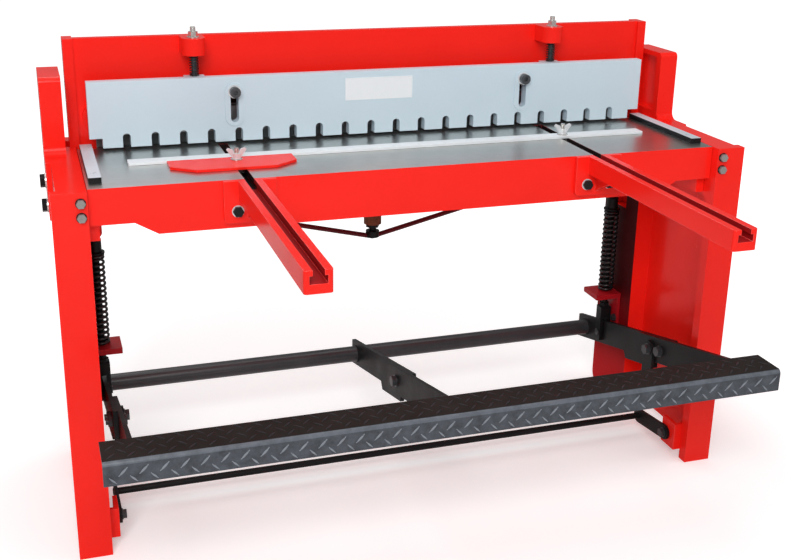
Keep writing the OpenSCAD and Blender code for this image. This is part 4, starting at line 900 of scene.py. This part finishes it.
# %% Wind the four springs
# Wire, turns, body that carries it, joint that squeezes it, travel, and the end that stays: -1 low, 1 high
spring_rules = {
    "return_spring": (6.5 * MM, 18, "frame", "ram_slide", 30.5 * MM, -1),
    "hold_down_spring": (2.6 * MM, 9, "ram_body", "hold_down_slide", 23.7 * MM, 1)}
for side in ("left", "right"):
    for kind, (wire, turns, body, joint, travel, fixed_end) in spring_rules.items():
        node = side + "_" + kind
        spring = wind_spring(node, wire, turns)
        centre, size = box_middle(node)
        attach(spring, body)
        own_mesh(spring)
        print(node, turns, "turns")

# %% [markdown]
# ## Threads and welds
#
# A thread is a very low spring, so the same tree draws it: a thin wire wound close round
# the stud, half sunk in it. The arms are welded to the pivot shaft all round, and a weld
# is a row of small overlapping drops, which Geometry Nodes set along a ring.

# %% Threads on the hold-down's spring bolts
thread_radius, thread_pitch, thread_wire, thread_long = 5.9 * MM, 1.75 * MM, 0.9 * MM, 12.2 * MM
thread_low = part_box("hold_down_bolts")[1].z - 13 * MM
for side, x in (("left", -stud_x), ("right", stud_x)):
    thread = grow(side + "_stud_thread", wound_spring, {
        "Radius": thread_radius, "Wire": thread_wire, "Length": thread_long,
        "Turns": thread_long / thread_pitch, "Place": (x, stud_y, thread_low),
        "Steps": int(thread_long / thread_pitch * 16), "Finish": zinc_plate}, zinc_plate)
    thread.data.shade_smooth()
    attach(thread, body_of["hold_down_bolts"])
print("threads from", round(thread_low, 4), "up")

# %% Weld beads round the pivot shaft


def weld_tree():
    """Drops set along a ring that stands across the X axis."""
    tree, start, end = add_tree("weld_ring", [
        ("Radius", "NodeSocketFloat", 0.02), ("Drop", "NodeSocketFloat", 0.003),
        ("Drops", "NodeSocketInt", 30), ("Place", "NodeSocketVector", (0, 0, 0)),
        ("Finish", "NodeSocketMaterial", None)])
    add, link = tree.nodes.new, tree.links.new
    ring = add("GeometryNodeMeshCircle")
    link(start.outputs["Radius"], ring.inputs["Radius"])
    link(start.outputs["Drops"], ring.inputs["Vertices"])
    drop = add("GeometryNodeMeshIcoSphere")
    drop.inputs["Subdivisions"].default_value = 2
    link(start.outputs["Drop"], drop.inputs["Radius"])
    stamp = add("GeometryNodeInstanceOnPoints")
    link(ring.outputs[0], stamp.inputs["Points"])
    link(drop.outputs[0], stamp.inputs["Instance"])
    uneven = add("FunctionNodeRandomValue")
    uneven.inputs["Seed"].default_value = 7
    uneven.inputs[2].default_value, uneven.inputs[3].default_value = 0.8, 1.1
    link(uneven.outputs[1], stamp.inputs["Scale"])
    finish_tree(tree, start, end, stamp.outputs[0]).default_value = (0.0, pi / 2, 0.0)
    return tree


weld_ring = weld_tree()
shaft_middle, shaft_size = box_middle("treadle_shaft")
arm_thick, side_arm_x, middle_third = 10 * MM, 681 * MM, 300 * MM
weld_drop, weld_drops = 2.6 * MM, 44
# The middle arm's left face: the lowest X among the arms' side faces near the middle
middle_arm_x = min(face.center.x for face in frame["nodes"]["rear_treadle_arms"].data.polygons
                   if abs(face.normal.x) > 0.99 and abs(face.center.x) < middle_third)
weld_xs = [middle_arm_x, middle_arm_x + arm_thick, -side_arm_x + arm_thick / 2, side_arm_x - arm_thick / 2]
for number, x in enumerate(weld_xs):
    bead = grow(f"shaft_weld_{number}", weld_ring, {
        "Radius": shaft_size.z / 2, "Drop": weld_drop, "Drops": weld_drops,
        "Place": (x, shaft_middle.y, shaft_middle.z), "Finish": black_enamel}, black_enamel)
    bead.data.shade_smooth()
    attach(bead, "treadle")
print("welds at", [round(x, 4) for x in weld_xs])

# %% [markdown]
# ## The tread
#
# The foot board is folded from chequer plate. Short raised bars cross at right angles,
# each standing at 45 degrees to the board's edge, so a boot grips in every direction.
# Geometry Nodes lay a grid of points on the two faces and stamp a bar on each.

# %% One raised bar
bar_long, bar_wide, bar_proud = 29 * MM, 7 * MM, 1.8 * MM


def tread_bar_mesh():
    """One raised bar: a long, low lens with pointed ends."""
    shape = bmesh.new()
    rim, pointed = 14, 1.15
    # Share of the outline and of the height, from the foot to the crest
    levels = [(1.0, -0.3), (0.88, 0.6), (0.66, 1.0)]
    rings = []
    for share, lift in levels:
        ring = []
        for i in range(rim):
            a = 2 * pi * i / rim
            across = abs(sin(a)) ** pointed * (1 if sin(a) >= 0 else -1)
            x, y = share * bar_long / 2 * cos(a), share * bar_wide / 2 * across
            ring.append(shape.verts.new((x, y, lift * bar_proud)))
        rings.append(ring)
    for low, high in zip(rings, rings[1:]):
        for i in range(rim):
            shape.faces.new((low[i], low[(i + 1) % rim], high[(i + 1) % rim], high[i]))
    shape.faces.new(rings[-1])
    shape.faces.new(tuple(reversed(rings[0])))
    mesh = bpy.data.meshes.new("tread_bar")
    shape.to_mesh(mesh)
    shape.free()
    return mesh


# %% Rows of bars
tread_pitch_x, tread_pitch_y = 19 * MM, 16.5 * MM


def tread_tree():
    """Grid of crossed bars, laid flat, then turned and moved onto a face of the board."""
    tree, start, end = add_tree("chequer_rows", [
        ("Columns", "NodeSocketInt", 10), ("Rows", "NodeSocketInt", 3),
        ("Pitch X", "NodeSocketFloat", 0.02), ("Pitch Y", "NodeSocketFloat", 0.02),
        ("Lean", "NodeSocketFloat", pi / 4), ("Even Size", "NodeSocketFloat", 1.0),
        ("Bar", "NodeSocketObject", None), ("Place", "NodeSocketVector", (0, 0, 0)),
        ("Turn", "NodeSocketVector", (0, 0, 0)), ("Finish", "NodeSocketMaterial", None)])
    add, link = tree.nodes.new, tree.links.new
    calc = partial(math_node, tree)
    grid = add("GeometryNodeMeshGrid")
    for axis, label in (("X", "Columns"), ("Y", "Rows")):
        link(start.outputs[label], grid.inputs["Vertices " + axis])
        steps = calc("SUBTRACT", start.outputs[label], 1.0)
        long = calc("MULTIPLY", steps, start.outputs["Pitch " + axis])
        link(long, grid.inputs["Size " + axis])
    # The grid's points are counted column by column: every second one carries a bar
    index = add("GeometryNodeInputIndex").outputs[0]
    column = calc("FLOOR", calc("DIVIDE", index, start.outputs["Rows"]))
    row = calc("MODULO", index, start.outputs["Rows"])
    odd_place = calc("MODULO", calc("ADD", column, row), 2.0)
    chosen = calc("LESS_THAN", odd_place, 0.5)
    # Bars of one row lean one way, and those of the next row the other way
    odd_row = calc("MODULO", row, 2.0)
    flip = calc("SUBTRACT", 1.0, calc("MULTIPLY", odd_row, 2.0))
    lean = calc("MULTIPLY", start.outputs["Lean"], flip)
    growth = calc("MULTIPLY", calc("SUBTRACT", 1.0, start.outputs["Even Size"]), odd_row)
    bar_size = calc("ADD", start.outputs["Even Size"], growth)
    turn_bar = add("ShaderNodeCombineXYZ")
    link(lean, turn_bar.inputs["Z"])
    bar = add("GeometryNodeObjectInfo")
    link(start.outputs["Bar"], bar.inputs["Object"])
    stamp = add("GeometryNodeInstanceOnPoints")
    link(grid.outputs["Mesh"], stamp.inputs["Points"])
    link(bar.outputs["Geometry"], stamp.inputs["Instance"])
    link(chosen, stamp.inputs["Selection"])
    link(turn_bar.outputs[0], stamp.inputs["Rotation"])
    link(bar_size, stamp.inputs["Scale"])
    link(start.outputs["Turn"], finish_tree(tree, start, end, stamp.outputs[0]))
    return tree


# %% Chequer plate on the board
tread_bar = add_object("tread_bar_pattern", tread_bar_mesh())
chequer_rows = tread_tree()
board_low, board_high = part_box("foot_board")
board_bend, bar_sunk = 10 * MM, 0.8 * MM
columns = int((board_high.x - board_low.x - bar_long) / tread_pitch_x) + 1
board = dress("foot_board", tread_enamel, 1.5 * MM, 3)
board_top = ((-past, board_low.y + board_bend / 2, board_high.z - edge_slack),
             (past, board_high.y + edge_slack, board_high.z + edge_slack))
print("grimy faces on top", give_inside(board, tread_grime, *board_top))
# The bend between front and top looks both ways, and is painted lighter as a painted highlight along the fold
board.data.materials.append(tread_bend_highlight)
for face in board.data.polygons:
    if face.normal.y < -0.2 and face.normal.z > 0.2:
        face.material_index = 2
middle_x = (board_low.x + board_high.x) / 2
top_y, front_z = (board_low.y + board_bend + board_high.y) / 2 - MM, board_low.z + 19 * MM
# Rows, lean of the first row, size of its bars, finish, tilt and place
tread_faces = {
    "tread_top": (4, pi / 4, 1.0, tread_grime, (0.0, 0.0, 0.0), (middle_x, top_y, board_high.z - bar_sunk)),
    "tread_front": (2, -pi / 4, 0.78, tread_enamel, (pi / 2, 0.0, 0.0),
                    (middle_x, board_low.y + bar_sunk, front_z)),
}
for name, (rows, lean, even_size, flank, tilt, place) in tread_faces.items():
    tread = grow(name, chequer_rows, {
        "Columns": columns, "Rows": rows, "Pitch X": tread_pitch_x, "Pitch Y": tread_pitch_y,
        "Bar": tread_bar, "Lean": lean, "Even Size": even_size, "Place": place, "Turn": tilt,
        "Finish": flank}, flank)
    # The polygons that face straight out are lighter: partly boots polish the crests, and partly a painted
    # highlight
    outward = Vector((0, -sin(tilt[0]), cos(tilt[0])))
    tread.data.materials.append(grime_crest_wear_and_highlight if flank == tread_grime else tread_crest_wear_and_highlight)
    straight_out = 0.93
    for face in tread.data.polygons:
        face.material_index = 1 if face.normal.dot(outward) > straight_out else 0
    tread.data.shade_smooth()
    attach(tread, "treadle")
    print(name, columns, "columns", len(tread.data.polygons), "faces")
bpy.data.objects.remove(tread_bar)

# %% [markdown]
# ## The rating plate
#
# A small plate is fixed to the hold-down. It stays bare here: a thin pressed sheet with
# a raised rim and four rivets, drawn with a bevelled outline and a smaller inner field.

# %% Bare plate on the hold-down
plate_left, plate_wide, plate_high, plate_top = -0.095, 0.165, 0.052, 0.957
plate_thick, rim_wide, rim_slope = 0.6 * MM, 2.0 * MM, 0.6 * MM
rivet_radius, rivet_in, field_share = 1.6 * MM, 5 * MM, 0.6
plate_white = enamel("plate_white", "F0F4F7", "E2E6EA", 0.35, 0.2, ripple=0.0, peel=0.05)
hold_face_y = 327 * MM


def rating_plate():
    """Thin sheet with a shallow field and four round rivet heads."""
    shape = bmesh.new()
    edges = [0.0, rim_wide, rim_wide + rim_slope]
    depth = [plate_thick, plate_thick, plate_thick * field_share]
    rings = []
    for inset, out in zip(edges, depth):
        x0, x1 = plate_left + inset, plate_left + plate_wide - inset
        z0, z1 = plate_top - plate_high + inset, plate_top - inset
        y = hold_face_y - out
        rings.append([shape.verts.new(c) for c in ((x0, y, z0), (x1, y, z0), (x1, y, z1), (x0, y, z1))])
    back = [shape.verts.new((v.co.x, hold_face_y, v.co.z)) for v in rings[0]]
    for low, high in zip([back] + rings, rings):
        for i in range(4):
            shape.faces.new((low[i], low[(i + 1) % 4], high[(i + 1) % 4], high[i]))
    shape.faces.new(rings[-1])
    shape.faces.new(tuple(reversed(back)))
    for x in (plate_left + rivet_in, plate_left + plate_wide - rivet_in):
        for z in (plate_top - rivet_in, plate_top - plate_high + rivet_in):
            place = Matrix.Translation((x, hold_face_y - plate_thick * field_share, z))
            spot = place @ Matrix.Diagonal((1, 0.5, 1, 1))
            bmesh.ops.create_uvsphere(shape, u_segments=12, v_segments=8, radius=rivet_radius, matrix=spot)
    bmesh.ops.recalc_face_normals(shape, faces=shape.faces)
    mesh = bpy.data.meshes.new("rating_plate")
    shape.to_mesh(mesh)
    shape.free()
    return add_object("rating_plate", mesh, plate_white)


plate = rating_plate()
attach(plate, "hold_down")
print("plate faces", len(plate.data.polygons))
